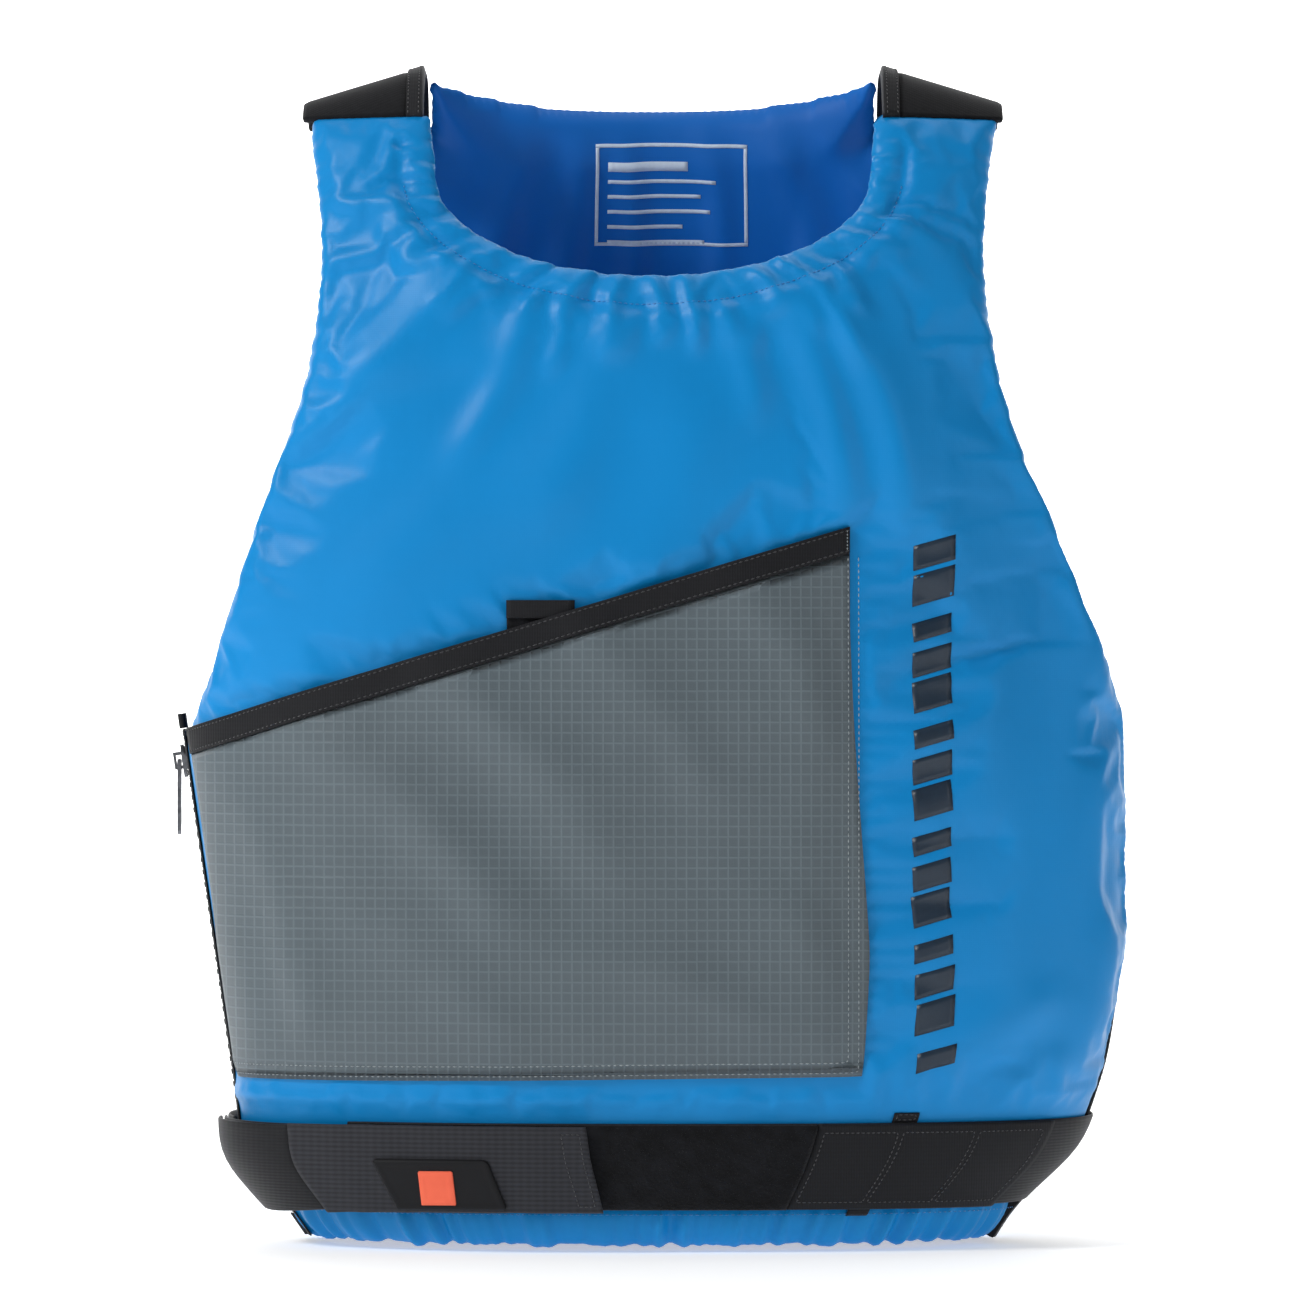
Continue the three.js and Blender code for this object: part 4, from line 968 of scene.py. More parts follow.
def film(name, u_low, u_high, z_low, z_high, front, material, inside_vest=False, rise=0.0, gap=0.25 * MM):
    """A thin printed patch that follows a panel's skin."""
    count_u = max(int((u_high - u_low) / (2.5 * MM)), 2) + 1
    count_z = max(int((z_high - z_low) / (2.5 * MM)), 2) + 1
    grid_u, grid_z = np.meshgrid(np.linspace(u_low, u_high, count_u), np.linspace(z_low, z_high, count_z),
                                 indexing="ij")
    grid_z = grid_z + rise * (grid_u - u_low)
    top = onto_panel(grid_u, grid_z, front, gap, inside_vest)
    under = onto_panel(grid_u, grid_z, front, -0.4 * MM, inside_vest)
    return closed_sheet(name, top, under, material)


def shoulder_sheet(name, side, x_low, x_high, low_offset, high_offset, material):
    """A strap of neoprene over one shoulder, from the front seam over the ridge to the back seam."""
    xs = np.linspace(x_low, x_high, 22)
    seam_z = SHOULDER_Z - 2.2 * MM
    half = (np.interp(SHOULDER_Z, HEIGHTS, LEFT_SIDE) - np.interp(SHOULDER_Z, HEIGHTS, RIGHT_SIDE)) / 2
    middle = (np.interp(SHOULDER_Z, HEIGHTS, LEFT_SIDE) + np.interp(SHOULDER_Z, HEIGHTS, RIGHT_SIDE)) / 2
    shares = np.linspace(-1, 1, 41)
    grid = np.empty((len(xs), len(shares), 3))
    for i, x in enumerate(xs):
        ridge = RIDGE_Z + RIDGE_SLOPE * (NECK_TOP_X - x)
        deep = (1 - min(abs((side * x - middle) / half), 0.999) ** 2.5) ** (1 / 2.5)
        start = math.asin(min((seam_z / ridge) ** 1.5, 1))
        for j, share in enumerate(shares):
            angle = math.pi / 2 - (math.pi / 2 - start) * abs(share)
            z = ridge * math.sin(angle) ** (2 / 3)
            y = math.copysign(CHEST_Y * deep * math.cos(angle) ** (2 / 3), share)
            grid[i, j] = (side * x, y, z)
    normal = np.cross(np.gradient(grid, axis=0), np.gradient(grid, axis=1))
    normal /= np.linalg.norm(normal, axis=-1, keepdims=True)
    normal *= np.sign(normal[..., 2:3] + 1e-12)
    edge = np.ones((len(xs), len(shares)))
    edge[[0, -1], :] = 0.4
    top = grid + normal * (high_offset - (1 - edge)[..., None] * 1.0 * MM)
    under = grid + normal * (low_offset + (1 - edge)[..., None] * 1.0 * MM)
    return closed_sheet(name, top, under, material), top


class VEST_OT_body_panels(Operator):
    """Front and back panels: taffeta shell and lining sewn round foam, wrinkled by cloth simulation"""
    bl_idname = "vest.body_panels"
    bl_label = "Body panels"

    def execute(self, context):
        for half, fixed in (("front", CHEST_FOLDS), ("back", BACK_FOLDS)):
            front = half == "front"
            obj = body_panel(f"{half}_panel", front, stock("shell"), stock("lining"),
                             list(fixed) + gathers(front))
            nodes = [f"{half}_outer_shell", f"{half}_lining", f"{half}_edge_facing"]
            if front:
                nodes += ["neck_band", "neck_elastic"]
            finish_piece(obj, "vest", nodes)
            for index, layer in enumerate(("outer", "inner")):
                pad = foam_pad(f"{half}_foam_pad_{layer}", front, (-2.8 - 7.6 * index) * MM, 7.2 * MM,
                               stock("foam"))
                finish_piece(pad, "vest", [f"{half}_foam_{layer}"])
        turn = np.linspace(math.pi * 1.03, math.pi * 1.97, 160)
        band_x = (NECK_X + 17 * MM) * np.cos(turn)
        band_z = NECK_ARC_Z + (NECK_ARC_Z - NECK_Z + 17 * MM) * np.sin(turn)
        seam = onto_panel(arc_of_x(band_x, band_z), band_z, True, 0.15 * MM)
        stitch_row(seam, stock("blue_thread"), "neck_band_stitches", "vest")
        return {"FINISHED"}


class VEST_OT_shoulders(Operator):
    """Neoprene over both shoulders, with a bound and topstitched edge along the neck"""
    bl_idname = "vest.shoulders"
    bl_label = "Shoulders"

    def execute(self, context):
        for word, side in (("right", -1), ("left", 1)):
            start = NECK_TOP_X + 8.3 * MM
            panel, _ = shoulder_sheet(f"{word}_shoulder_neoprene", side, start, 179 * MM,
                                      -3.2 * MM, 0.4 * MM, stock("neoprene"))
            finish_piece(panel, "vest", [f"{word}_shoulder_panel"])
            edge, top = shoulder_sheet(f"{word}_shoulder_edge", side, NECK_TOP_X, start - 0.2 * MM,
                                       -3.8 * MM, 1.3 * MM, stock("tape"))
            finish_piece(edge, "vest", [f"{word}_shoulder_binding"])
            for index, column in enumerate((4, -4)):
                line = top[column] + np.array([0, 0, 0.15 * MM])
                stitch_row(line, stock("dark_thread"), f"{word}_shoulder_stitches_{index + 1}", "vest")
        return {"FINISHED"}


def gathered_tube(name, us, material, seed):
    """The hem: an elasticated casing, puckered all the way along."""
    around = 20
    angles = np.linspace(0, 2 * math.pi, around, endpoint=False)
    fine = np.array([noise.noise(Vector((u / (8.5 * MM), seed, 0))) for u in us])
    broad = np.array([noise.noise(Vector((u / (22 * MM), seed + 5, 0))) for u in us])
    pucker = 5.6 * fine + 2.6 * broad
    middle_z = HEM_TOP / 2
    grid_u = np.repeat(us[:, None], around, axis=1)
    tall = middle_z + 0.4 * MM + (2.2 * fine + 1.2 * broad)[:, None] * MM
    grid_z = middle_z + tall * np.sin(angles)[None, :]
    swell = np.maximum(np.cos(angles), 0)[None, :] * pucker[:, None] * MM
    grid_d = -8.6 * MM + 8.6 * MM * np.sign(np.cos(angles)) * np.abs(np.cos(angles))[None, :] ** 0.7 + swell
    points = place(grid_u, np.maximum(grid_z, -1.0 * MM), grid_d)
    faces = []
    for i in range(len(us) - 1):
        for j in range(around):
            k = (j + 1) % around
            faces.append((i * around + j, (i + 1) * around + j, (i + 1) * around + k, i * around + k))
    faces.append(tuple(range(around)))
    faces.append(tuple((len(us) - 1) * around + j for j in range(around)))
    return mesh_object(name, points.reshape(-1, 3), faces, [material])


class VEST_OT_hem(Operator):
    """Gathered hem casings, front and back, and the bound end of the hem"""
    bl_idname = "vest.hem"
    bl_label = "Hem"

    def execute(self, context):
        zip_arc = float(arc_of_y(8.5 * MM, 0.01))
        side_arc = float(arc_of_y(24.3 * MM, 0.01))
        step = 2.2 * MM
        front_us = np.arange(-zip_arc, side_arc, step)
        back_us = np.arange(2 * QUARTER - side_arc, 2 * QUARTER + zip_arc, step)
        for half, us, seed in (("front", front_us, 1.0), ("back", back_us, 8.0)):
            obj = gathered_tube(f"{half}_hem", us, stock("hem"), seed)
            finish_piece(obj, "vest", [f"{half}_hem_casing", f"{half}_hem_elastic"])
            seam = place(us, np.full(len(us), HEM_TOP - 2.5 * MM), 1.3 * MM)
            stitch_row(seam, stock("blue_thread"), f"{half}_hem_stitches", "vest")
        around_side = np.linspace(side_arc + 0.5 * MM, 2 * QUARTER - side_arc - 0.5 * MM, 20)
        end = slab("hem_end_tape", around_side, 2 * MM, HEM_TOP, -4.5 * MM, 6 * MM, stock("tape"))
        finish_piece(end, "vest", ["hem_end_binding"])
        return {"FINISHED"}


# Soft wrinkles in the pocket: start x and z, end x and z, width and height, in millimetres.
POCKET_FOLDS = (
    (-190, 276, -60, 150, 13, 2.4), (-110, 296, -20, 190, 11, 1.9), (-40, 316, 30, 230, 10, 1.8),
    (40, 338, 96, 250, 10, 2.0), (-208, 230, -170, 110, 9, 2.6), (-150, 180, -70, 100, 12, 1.8),
    (-30, 150, 60, 110, 10, 1.6), (60, 180, 100, 120, 9, 1.6), (-215, 160, -200, 90, 8, 2.0),
)


def pocket_rise(u, z):
    """How far the pocket stands off the form: flat at its seams, full in the middle."""
    x = base_points(u, z)[..., 0]
    left = np.clip((x + 0.233) / 0.075, 0, 1)
    right = np.clip((POCKET_HIGH.x - x) / 0.034, 0, 1)
    low = np.clip((z - POCKET_LOW.z) / 0.040, 0, 1)
    near = np.minimum(np.minimum(left, right), low)
    full = near * near * (3 - 2 * near)
    sag = np.clip((mouth_height(x) - z) / 0.05, 0, 1)
    lie = 0.9 * MM + 5.6 * MM * full * (0.72 + 0.28 * sag)
    shape = u.shape
    spots = np.stack([x.ravel(), np.zeros(x.size), z.ravel()], 1)
    crumple = (2.2 * ripple(spots, 0.06, 2.0) + 0.9 * ripple(spots, 0.024, 6.0)).reshape(shape)
    folds = fold_height(x, z, POCKET_FOLDS)
    return lie + (crumple * MM + 1.9 * folds) * (0.12 + 0.88 * full)


class VEST_OT_pocket(Operator):
    """Slanted patch pocket in ripstop, with a bound mouth, its stitching and its closing tab"""
    bl_idname = "vest.pocket"
    bl_label = "Pocket"

    def execute(self, context):
        right = float(arc_of_x(POCKET_HIGH.x, 0.2))
        left = -float(arc_of_y(36 * MM, 0.2))
        us = np.linspace(left, right, 96)

        def mouth_at(us):
            z = np.full(us.shape, 0.3)
            for _ in range(4):
                z = mouth_height(base_points(us, z)[:, 0])
            return z

        mouth = mouth_at(us)
        bottom = POCKET_LOW.z + 4 * MM + 4 * MM * (us - left) / (right - left)
        fabric = slab("pocket_ripstop", us, bottom, mouth - 11 * MM, pocket_rise, 0.9 * MM,
                      stock("ripstop"), 60)
        finish_piece(fabric, "vest", ["pocket_panel"])

        def tape_rise(u, z):
            return pocket_rise(u, z) - 0.5 * MM

        tape = slab("pocket_mouth_tape", us, mouth - 13.5 * MM, mouth, tape_rise, 2.2 * MM, stock("tape"), 8)
        finish_piece(tape, "vest", ["pocket_binding"])
        for index, drop in enumerate((11.9 * MM, 1.8 * MM)):
            line_z = mouth - drop
            line = place(us, line_z, pocket_rise(us[:, None], line_z[:, None])[:, 0] + 1.75 * MM)
            stitch_row(line, stock("dark_thread"), f"pocket_tape_stitches_{index + 1}", "vest")
        for index, inset in enumerate((2.2 * MM, 7.5 * MM)):
            side = np.linspace(float(bottom[-1]) + inset, float(mouth[-1]) - 15 * MM, 90)
            side_u = arc_of_x(POCKET_HIGH.x - inset, side)
            under = np.interp(us, (left, right), (float(bottom[0]), float(bottom[-1]))) + inset
            seam_u = np.concatenate([us[us < side_u[0]], side_u])
            seam_z = np.concatenate([under[us < side_u[0]], side])
            line = place(seam_u, seam_z, pocket_rise(seam_u[:, None], seam_z[:, None])[:, 0] + 1.0 * MM)
            stitch_row(line, stock("pale_thread"), f"pocket_topstitching_{index + 1}", "vest")
        tack_z = np.linspace(float(mouth[-1]) - 12 * MM, float(mouth[-1]) - 1.5 * MM, 20)
        tack_u = arc_of_x(POCKET_HIGH.x - 8 * MM, tack_z)
        tack = place(tack_u, tack_z, pocket_rise(tack_u[:, None], tack_z[:, None])[:, 0] + 1.8 * MM)
        stitch_row(tack, stock("pale_thread"), "pocket_corner_tack", "vest", 1.6 * MM)
        middle = arcs(TAB_LOW.x, TAB_HIGH.x, TAB_LOW.z, 3 * MM)
        patch = slab("pocket_pile_patch", middle, TAB_LOW.z - 21 * MM, TAB_LOW.z - 3 * MM, 2.4 * MM, 1.2 * MM,
                     stock("pile"))
        finish_piece(patch, "vest", ["pocket_loop_patch"])
        tab = slab("pocket_tab", middle, TAB_LOW.z - 5 * MM, TAB_HIGH.z - 6 * MM, 3.9 * MM, 1.5 * MM,
                   stock("tape"))
        finish_piece(tab, "vest", ["pocket_hook_tab"])
        return {"FINISHED"}


# Levels of the belt's layers above its webbing's underside.
PANEL_LEVEL = 1.9 * MM
PILE_TIP_LEVEL = 4.0 * MM
HOOK_LEVEL = 4.4 * MM
FOLD_LEVEL = 4.5 * MM
RIBBED_LEVEL = 6.1 * MM
PEEL_LEVEL = 7.9 * MM
BADGE_LEVEL = 8.0 * MM
INSET_LEVEL = 9.7 * MM

# Places along the belt, as x from the vest's middle.
FRONT_WEBBING_X = -150 * MM
BARE_PILE_X = -26 * MM
HOOK_PATCH_X = (-130 * MM, -44 * MM)

# Keepers: name, x, whether it is in front, and the height of the layers that it spans.
KEEPERS = (("front", 118 * MM, True, 3.5 * MM), ("back_right", -110 * MM, False, 1.9 * MM),
           ("back_left", 110 * MM, False, 1.6 * MM))


def belt_offset(level):
    """Offset of a belt layer above the form, lifted where it crosses the zip."""
    def offset(u, z):
        x = base_points(u, z)[..., 0]
        share = np.clip((-x - 0.66 * BELT_X) / (0.26 * BELT_X), 0, 1)
        return 0.6 * MM + 3.8 * MM * share * share * (3 - 2 * share) + level
    return offset


def elastic_offset(u, z):
    """The opening end: puffed a little along its length, between its stitched ends."""
    x = base_points(u, z)[..., 0]
    wave = np.array([noise.noise(Vector((value / (19 * MM), 3.0, 0))) for value in u.ravel()])
    wave = wave.reshape(u.shape)
    return belt_offset(RIBBED_LEVEL)(u, z) + 0.7 * MM * wave * np.clip((-0.03 - x) / 0.05, 0, 1)


def box_stitches(u_low, u_high, z_low, z_high, offset, lean, material, name, body):
    """A stitched box, its ends slanted, on top of a layer of the belt."""
    middle = (z_low + z_high) / 2
    corners_uz = [(u_low, z_low), (u_high, z_low), (u_high, z_high), (u_low, z_high), (u_low, z_low)]
    path = np.concatenate([np.linspace(a, b, 40) for a, b in zip(corners_uz, corners_uz[1:])])
    u = path[:, 0] + lean * (path[:, 1] - middle)
    rise = offset(u[:, None], path[:, 1:2])[:, 0]
    return stitch_row(place(u, path[:, 1], rise), material, name, body, 2.6 * MM)


def pile_fuzz(us, z_low, z_high, offset, count, name):
    """Loose loops that stand up from the nap of a loop panel, as short bent strands."""
    u = rng.uniform(us[0], us[-1], count)
    z = rng.uniform(z_low, z_high, count)
    root = place(u, z, offset(u, z))
    out = normals_at(u, z)
    turn = rng.normal(0, 1, (count, 3)) * 0.8 + out
    turn /= np.linalg.norm(turn, axis=1, keepdims=True)
    reach = rng.uniform(0.5, 1.3, count)[:, None] * MM
    verts, faces = [], []
    for r, way, size in zip(root, turn, reach):
        side = np.cross(way, (0.2, 0.3, 0.93))
        side = side / max(np.linalg.norm(side), 1e-9) * 0.12 * MM
        across = np.cross(way, side)
        start = len(verts)
        verts += [r + side, r - side * 0.5 + across, r - side * 0.5 - across, r + way * size]
        faces += [(start, start + 1, start + 3), (start + 1, start + 2, start + 3),
                  (start + 2, start, start + 3), (start, start + 2, start + 1)]
    obj = mesh_object(name, verts, faces, [stock("pile")])
    return finish_piece(obj, "vest")


class VEST_OT_belt(Operator):
    """Waist belt: webbing round the back, loop panel, ribbed opening end, keepers"""
    bl_idname = "vest.belt"
    bl_label = "Belt"

    def execute(self, context):
        low, high = BELT_LOW.z, BELT_HIGH.z
        start = float(arc_of_x(LOOP_HIGH.x + 0.3 * MM, BELT_Z))
        end = 4 * QUARTER - float(arc_of_y(30 * MM, BELT_Z))
        around = np.linspace(start, end, 230)
        back = slab("belt_webbing_back", around, low, high, belt_offset(0.0), 1.6 * MM, stock("webbing"))
        finish_piece(back, "vest", ["belt_back_strap"])
        front_us = arcs(FRONT_WEBBING_X, LOOP_HIGH.x, BELT_Z, 3 * MM)
        front = slab("belt_webbing_front", front_us, low, high, belt_offset(0.0), 1.6 * MM, stock("webbing"))
        finish_piece(front, "vest", ["belt_front_strap"])
        loop_us = arcs(LOOP_LOW.x, LOOP_HIGH.x, BELT_Z, 3 * MM)
        loop = slab("belt_pile_panel", loop_us, low, high, belt_offset(PANEL_LEVEL), 2.2 * MM, stock("pile"))
        finish_piece(loop, "vest", ["belt_loop_panel"])
        pile_us = arcs(BARE_PILE_X, LOOP_HIGH.x - 1 * MM, BELT_Z)
        pile_fuzz(pile_us, low + 1 * MM, high - 1 * MM, belt_offset(PILE_TIP_LEVEL), 2600, "belt_pile_loops")
        adjust_us = arcs(ADJUST_LOW.x, ADJUST_HIGH.x, BELT_Z, 3 * MM)
        adjust = slab("belt_stitched_panel", adjust_us, low, high, belt_offset(PANEL_LEVEL), 1.6 * MM,
                      stock("tape"))
        finish_piece(adjust, "vest", ["belt_adjust_strap"])
        span = (adjust_us[0] + 4 * MM, adjust_us[-1] - 4 * MM)
        third = (span[1] - span[0]) / 3
        for index in range(3):
            box_stitches(span[0] + third * index, span[0] + third * (index + 1) - 3 * MM, low + 4 * MM,
                         high - 4 * MM, belt_offset(3.55 * MM), 0.0, stock("dark_thread"),
                         f"belt_panel_stitches_{index + 1}", "vest")
        patch_us = arcs(*HOOK_PATCH_X, BELT_Z, 3 * MM)
        patch = slab("belt_hook_panel", patch_us, low + 4 * MM, high - 4 * MM, belt_offset(HOOK_LEVEL),
                     1.4 * MM, stock("hooks"))
        finish_piece(patch, "belt_flap", ["belt_hook_patch"])
        hinge_us = np.linspace(-QUARTER, 0, 900)
        hinge_z = np.full(900, high)
        reach = place(hinge_us, hinge_z, belt_offset(PEEL_LEVEL)(hinge_us, hinge_z))[:, 0]
        strap_start = float(np.interp(STRAP_LOW.x + 1 * MM, reach, hinge_us))
        strap_end = float(arc_of_x(STRAP_HIGH.x - 6 * MM, BELT_Z))
        strap_us = np.linspace(strap_start, strap_end, 66)
        strap = slab("belt_ribbed_end", strap_us, low, high, elastic_offset, 1.6 * MM, stock("elastic"), 14,
                     lean=(0, -0.28))
        finish_piece(strap, "belt_flap", ["belt_hook_strap"])
        box_stitches(strap_us[-1] - 14 * MM, strap_us[-1] - 4 * MM, low + 3.5 * MM, high - 3.5 * MM,
                     lambda u, z: elastic_offset(u, z) + 1.65 * MM, -0.28, stock("dark_thread"),
                     "belt_end_stitches", "belt_flap")
        loop_start = -float(arc_of_y(2.5 * MM, BELT_Z))
        side_us = np.linspace(loop_start, strap_us[0] - 0.3 * MM, 34)
        swell = np.sin(np.linspace(0, math.pi, 34)) ** 0.6
        under = slab("belt_fold_under", side_us, low + 1 * MM, high - 1 * MM, belt_offset(PANEL_LEVEL),
                     1.7 * MM, stock("webbing"))
        finish_piece(under, "vest", ["belt_side_loop"])

        def fold_offset(u, z):
            along = np.interp(u, side_us, swell)
            return belt_offset(FOLD_LEVEL)(u, z) + 2.2 * MM * along * (1 - 0.5 * ((z - BELT_Z) / 0.02) ** 2)

        over = slab("belt_fold_over", side_us, low + 1 * MM, high - 1 * MM, fold_offset, 1.8 * MM,
                    stock("webbing"), 12)
        finish_piece(over, "vest")
        for name, middle, front_side, stack in KEEPERS:
            centre = float(arc_of_x(middle, BELT_Z))
            if not front_side:
                centre = 2 * QUARTER - centre if centre > 0 else 2 * QUARTER + abs(centre)
            spots = np.linspace(centre - 7 * MM, centre + 7 * MM, 9)

            def keeper_offset(u, z, stack=stack, outside=not front_side):
                foot = np.clip(np.maximum(low - z, z - high) / (3 * MM) + 0.4, 0, 1)
                over = 0.9 * MM + stack + 0.35 * MM if outside else -1.4 * MM
                return over * (1 - foot) + 0.3 * MM

            strip = slab(f"belt_keeper_{name}_loop", spots, low - 4.5 * MM, high + 5 * MM, keeper_offset,
                         1.3 * MM, stock("webbing"), 24)
            finish_piece(strip, "vest", [f"belt_keeper_{name}"])
            box_stitches(spots[0] + 1.5 * MM, spots[-1] - 1.5 * MM, high + 1.6 * MM, high + 4.2 * MM,
                         lambda u, z, k=keeper_offset: k(u, z) + 1.35 * MM, 0.0, stock("dark_thread"),
                         f"belt_keeper_{name}_stitches", "vest")
        return {"FINISHED"}


def moulded_plate(name, outline, level, thickness, rim_rise, radius, material):
    """A rubber plate with rounded corners, a raised rim and soft edges, bent to the belt."""
    corners_xz = np.array(outline) * MM
    wide = np.linalg.norm(corners_xz[1] - corners_xz[0]) / 2
    tall = (corners_xz[2, 1] - corners_xz[0, 1]) / 2
    rim = min(2.0 * MM, wide / 3)
    a, b = np.meshgrid(np.linspace(-wide, wide, 61), np.linspace(-tall, tall, 33), indexing="ij")
    over_a, over_b = np.abs(a) - (wide - radius), np.abs(b) - (tall - radius)
    corner = (over_a > 0) & (over_b > 0)
    pull = np.where(corner, np.maximum(over_a, over_b) / np.maximum(np.hypot(over_a, over_b), 1e-9), 1.0)
    a = np.where(corner, np.sign(a) * (wide - radius + over_a * pull), a)
    b = np.where(corner, np.sign(b) * (tall - radius + over_b * pull), b)
    s, t = (a / wide + 1) / 2, (b / tall + 1) / 2
    x = ((1 - s) * (1 - t) * corners_xz[0, 0] + s * (1 - t) * corners_xz[1, 0]
         + s * t * corners_xz[2, 0] + (1 - s) * t * corners_xz[3, 0])
    z = corners_xz[0, 1] + 2 * tall * t
    inward = np.minimum(wide - np.abs(a), tall - np.abs(b))
    lip = rim_rise * np.exp(-0.5 * ((inward - rim) / (0.35 * rim)) ** 2)
    edge = 1 - rounded(inward, 0.6 * MM)
    u = arc_of_x(x, z)
    base = belt_offset(level)(u, z)
    outer = place(u, z, base + thickness + lip - 0.7 * thickness * edge)
    inner = place(u, z, base)
    return closed_sheet(name, outer, inner, material)


# Corners of the badge and its inset in x and z, in millimetres, from the lower left.
BADGE_OUTLINE = ((-126, 24), (-72, 24), (-82, 49), (-139, 49))
INSET_OUTLINE = ((-114, 27), (-97, 27), (-99, 44), (-116, 44))


class VEST_OT_badge(Operator):
    """Moulded rubber badge on the belt's opening end, with a plain coloured inset"""
    bl_idname = "vest.badge"
    bl_label = "Badge"

    def execute(self, context):
        plate = moulded_plate("belt_badge_plate", BADGE_OUTLINE, BADGE_LEVEL,
                              1.6 * MM, 0.5 * MM, 2.6 * MM, stock("rubber"))
        finish_piece(plate, "belt_flap", ["belt_badge"])
        inset = moulded_plate("belt_badge_inset", INSET_OUTLINE, INSET_LEVEL,
                              0.8 * MM, 0.2 * MM, 1.0 * MM, stock("accent"))
        finish_piece(inset, "belt_flap", ["belt_badge_mark"])
        return {"FINISHED"}


def side_arc(y, z, side):
    """Arc length at y on the wearer's right (-1) or left (1), in front of the seam or behind it."""
    reach = arc_of_y(np.abs(y), z)
    return side * np.where(y < 0, reach, 2 * QUARTER - reach)


def side_strip(name, side, y_low, y_high, z_low, z_high, base, thickness, material, across=8, along=70):
    """A strip that runs up one side of the vest between two distances from the seam."""
    y, z = np.meshgrid(np.linspace(y_low, y_high, across), np.linspace(z_low, z_high, along))
    rise = base(y, z) if callable(base) else np.full(y.shape, base)
    return grid_slab(name, side_arc(y, z, side), z, rise, thickness, material)


class VEST_OT_sides(Operator):
    """The side zip's tapes, flap and garage, and the stretch panel down the other side"""
    bl_idname = "vest.sides"
    bl_label = "Sides"

    def execute(self, context):
        for half, ends in (("front", (-20.8, -5.8)), ("back", (5.8, 20.8))):
            tape = side_strip(f"zip_{half}_woven_tape", -1, ends[0] * MM, ends[1] * MM, 3 * MM, ARMPIT_Z,
                              0.4 * MM, 0.9 * MM, stock("tape"))
            finish_piece(tape, "vest", [f"zip_tape_{half}"])
            line_z = np.linspace(70 * MM, ARMPIT_Z - 3 * MM, 120)
            middle = np.full(120, (ends[0] * 0.72 + ends[1] * 0.28 if half == "front"
                                   else ends[0] * 0.28 + ends[1] * 0.72) * MM)
            line = place(side_arc(middle, line_z, -1), line_z, 1.35 * MM)
            stitch_row(line, stock("dark_thread"), f"zip_{half}_stitches", "vest")

        def flap_fold(y, z):
            return -22.6 * MM + 0.5 * MM * np.cos(y / (9 * MM)) * np.cos(z / (40 * MM))

        flap = side_strip("zip_inner_flap", -1, -26 * MM, 26 * MM, HEM_TOP + 1 * MM, ARMPIT_Z - 4 * MM,
                          flap_fold, 1.1 * MM, stock("lining"), 16)
        finish_piece(flap, "vest", ["zip_underflap"])
        garage = side_strip("zip_top_fold", -1, -7.5 * MM, 7.5 * MM, ARMPIT_Z + 0.4 * MM, ARMPIT_Z + 8 * MM,
                            -1.2 * MM, 4.0 * MM, stock("tape"), 10, 8)
        finish_piece(garage, "vest", ["zip_garage"])

        def side_bulge(y, z):
            ripples = 0.5 * MM * np.sin(z / (17 * MM)) * np.cos(y / (12 * MM))
            return -3.0 * MM + ripples * (np.abs(z - 0.15) < 0.1)

        panel = side_strip("left_stretch_neoprene", 1, -23.6 * MM, 23.6 * MM, HEM_TOP + 0.5 * MM, ARMPIT_Z,
                           side_bulge, 3.0 * MM, stock("neoprene"), 16)
        finish_piece(panel, "vest", ["side_stretch_panel"])
        for index, y in enumerate((-21.8, 21.8)):
            line_z = np.linspace(70 * MM, ARMPIT_Z - 2 * MM, 120)
            spread = np.full(120, y * MM)
            line = place(side_arc(spread, line_z, 1), line_z, side_bulge(spread, line_z) + 3.05 * MM)
            stitch_row(line, stock("dark_thread"), f"stretch_panel_stitches_{index + 1}", "vest")
        return {"FINISHED"}


PRINT_X = 130.5 * MM


class VEST_OT_prints(Operator):
    """Plain printed bars on the chest and a printed size frame inside the back of the neck"""
    bl_idname = "vest.prints"
    bl_label = "Prints"

    def execute(self, context):
        bars = np.linspace(91, 342, 15)
        for index, z in enumerate(bars):
            z_low = z * MM
            u = float(arc_of_x(PRINT_X, z_low))
            tall = (9.5, 15.5, 12.5)[index % 3] * MM
            bar = film(f"chest_print_bar_{index + 1:02d}", u, u + 20 * MM, z_low, z_low + tall, True,
                       stock("dark_ink"), rise=0.28)
            finish_piece(bar, "vest")
        low, high = LABEL_LOW, LABEL_HIGH
        left, right = float(arc_of_x(low.x, high.z - 0.03)), float(arc_of_x(high.x, high.z - 0.03))
        thin = 1.8 * MM
        top, base = high.z - 3 * MM, low.z + 4 * MM
        parts = [(left, right, top - thin, top), (left, right, base, base + thin),
                 (left, left + thin, base + thin, top - thin), (right - thin, right, base + thin, top - thin)]
        wide = right - left
        for row, (start, end, tall) in enumerate(((0.08, 0.62, 5), (0.08, 0.80, 2), (0.08, 0.70, 2),
                                                  (0.08, 0.76, 2), (0.08, 0.58, 2), (0.08, 0.72, 2))):
            z = top - (12 + row * 8.2) * MM
            parts.append((left + start * wide, left + end * wide, z - tall * MM / 2, z + tall * MM / 2))
        for index, (u0, u1, z0, z1) in enumerate(parts):
            mark = film(f"size_label_print_{index + 1:02d}", u0, u1, z0, z1, False, stock("light_ink"), True)
            finish_piece(mark, "vest", ["size_label"] if index == 0 else ())
        return {"FINISHED"}


CAD_STOCK = {"zip_teeth_front": "acetal", "zip_teeth_back": "acetal", "zip_retainer_box": "acetal",
             "zip_top_stop_front": "zinc", "zip_top_stop_back": "zinc", "zip_pin": "zinc",
             "zip_slider": "zinc", "zip_pull": "zinc"}


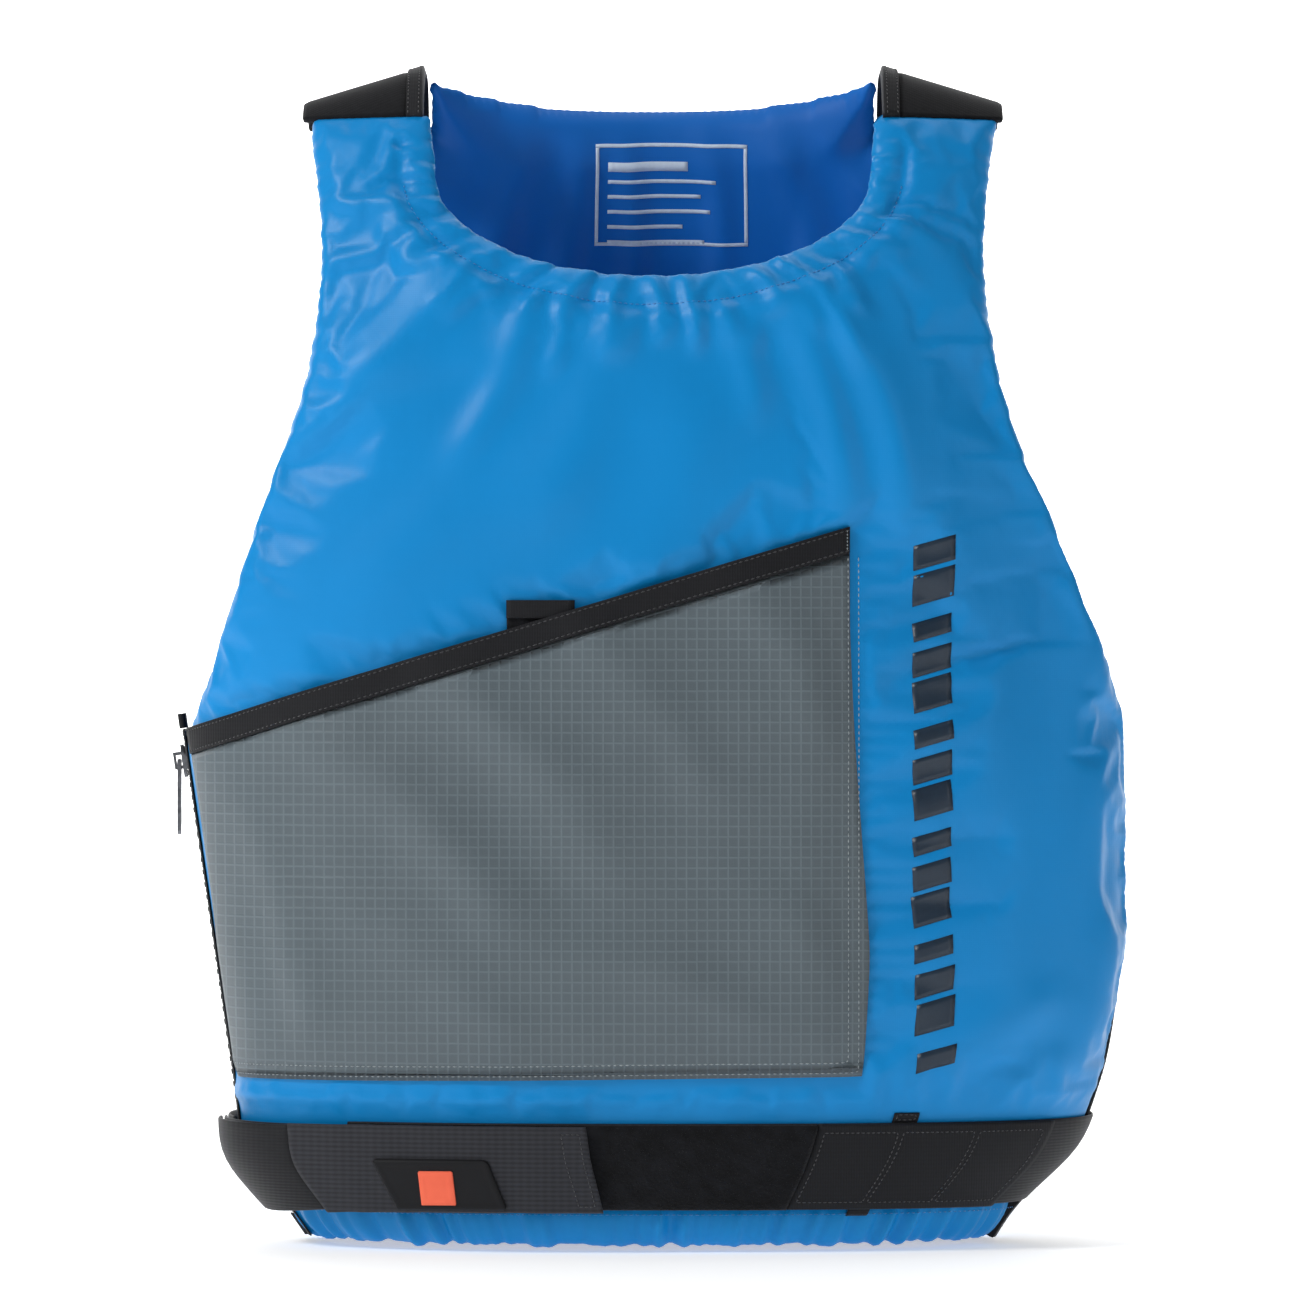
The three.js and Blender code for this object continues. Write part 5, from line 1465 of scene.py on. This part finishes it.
class VEST_OT_hardware(Operator):
    """Real materials on the zip's teeth, stops, box, slider and pull"""
    bl_idname = "vest.hardware"
    bl_label = "Hardware"

    def execute(self, context):
        for node, material in CAD_STOCK.items():
            obj = frame["nodes"][node]
            for place_of in obj.material_slots:
                place_of.material = stock(material)
        return {"FINISHED"}


def area_light(name, where, aim, size, watts, colour=(1, 1, 1)):
    lamp = bpy.data.lights.new(name, "AREA")
    lamp.shape = "RECTANGLE"
    lamp.size, lamp.size_y = size
    lamp.energy = watts
    lamp.color = colour
    obj = bpy.data.objects.new(name, lamp)
    bpy.context.scene.collection.objects.link(obj)
    obj.location = where
    obj.rotation_euler = (Vector(aim) - Vector(where)).to_track_quat("-Z", "Y").to_euler()
    return obj


class VEST_OT_stage(Operator):
    """Pale studio sweep, soft lights and the camera"""
    bl_idname = "vest.stage"
    bl_label = "Stage"

    def execute(self, context):
        scene = context.scene
        paper, _, surface, _ = shader("studio_paper", hex_colour("#F6F6F6"), 0.9)
        surface.inputs["Emission Color"].default_value = (1, 1, 1, 1)
        surface.inputs["Emission Strength"].default_value = 0.42
        profile = [(-7.0, 0.0)] + [(5.0 + 1.5 * math.sin(a), 1.5 - 1.5 * math.cos(a))
                                   for a in np.linspace(0, math.pi / 2, 24)] + [(6.5, 6.0)]
        floor_z = CAD_BOX[0][2] - 1.5 * MM
        verts = [(x, y, z + floor_z) for x in (-8.0, 8.0) for y, z in profile]
        count = len(profile)
        faces = [(i, i + count, i + count + 1, i + 1) for i in range(count - 1)]
        sweep = mesh_object("studio_sweep", verts, faces, [paper])
        world = bpy.data.worlds.new("soft_white_room")
        world.use_nodes = True
        ambient = world.node_tree.nodes["Background"]
        ambient.inputs["Color"].default_value = (*hex_colour("#FFFFFF"), 1)
        ambient.inputs["Strength"].default_value = 0.22
        scene.world = world
        chest = (0, 0, 0.32)
        area_light("key_light", (-2.3, -1.5, 2.1), chest, (0.8, 0.8), 58)
        area_light("fill_light", (2.4, -2.2, 1.0), chest, (1.4, 1.4), 7)
        area_light("top_light", (0.2, 0.3, 2.2), chest, (1.4, 0.8), 9)
        area_light("paper_light", (0, 3.6, 4.2), (0, 6.5, 1.2), (5.0, 2.0), 520)
        scene.view_settings.view_transform = "Standard"
        settings = sizes()
        camera = bpy.data.cameras.new("front_camera")
        camera.lens = 36 * settings.camera_distance / settings.view_width
        camera.sensor_width = 36
        camera.clip_end = 60
        obj = bpy.data.objects.new("front_camera", camera)
        scene.collection.objects.link(obj)
        obj.location = (-1.5 * MM, -0.12 - settings.camera_distance, 302.5 * MM)
        obj.rotation_euler = (math.pi / 2, 0, 0)
        scene.camera = obj
        return {"FINISHED"}


class VEST_PT_sidebar(Panel):
    """The vest's sizes, colours and build steps"""
    bl_label = "Foam vest"
    bl_idname = "VEST_PT_sidebar"
    bl_space_type = "VIEW_3D"
    bl_region_type = "UI"
    bl_category = "Vest"

    def draw(self, context):
        for group in (context.scene.vest_sizes, context.scene.vest_colours):
            box = self.layout.box()
            for key in group.__annotations__:
                box.prop(group, key)
        for step in STEPS:
            self.layout.operator(step.bl_idname)


STEPS = (VEST_OT_body_panels, VEST_OT_shoulders, VEST_OT_hem, VEST_OT_pocket, VEST_OT_belt, VEST_OT_badge,
         VEST_OT_sides, VEST_OT_prints, VEST_OT_hardware, VEST_OT_stage)
CLASSES = (VestSizes, VestColours, *STEPS, VEST_PT_sidebar)


def register():
    for item in CLASSES:
        bpy.utils.register_class(item)
    bpy.types.Scene.vest_sizes = PointerProperty(type=VestSizes)
    bpy.types.Scene.vest_colours = PointerProperty(type=VestColours)


def unregister():
    del bpy.types.Scene.vest_colours
    del bpy.types.Scene.vest_sizes
    for item in reversed(CLASSES):
        bpy.utils.unregister_class(item)


def main():
    """Builds the vest step by step."""
    register()
    for step in STEPS:
        group, _, name = step.bl_idname.partition(".")
        getattr(getattr(bpy.ops, group), name)()


if __name__ == "__main__":
    main()
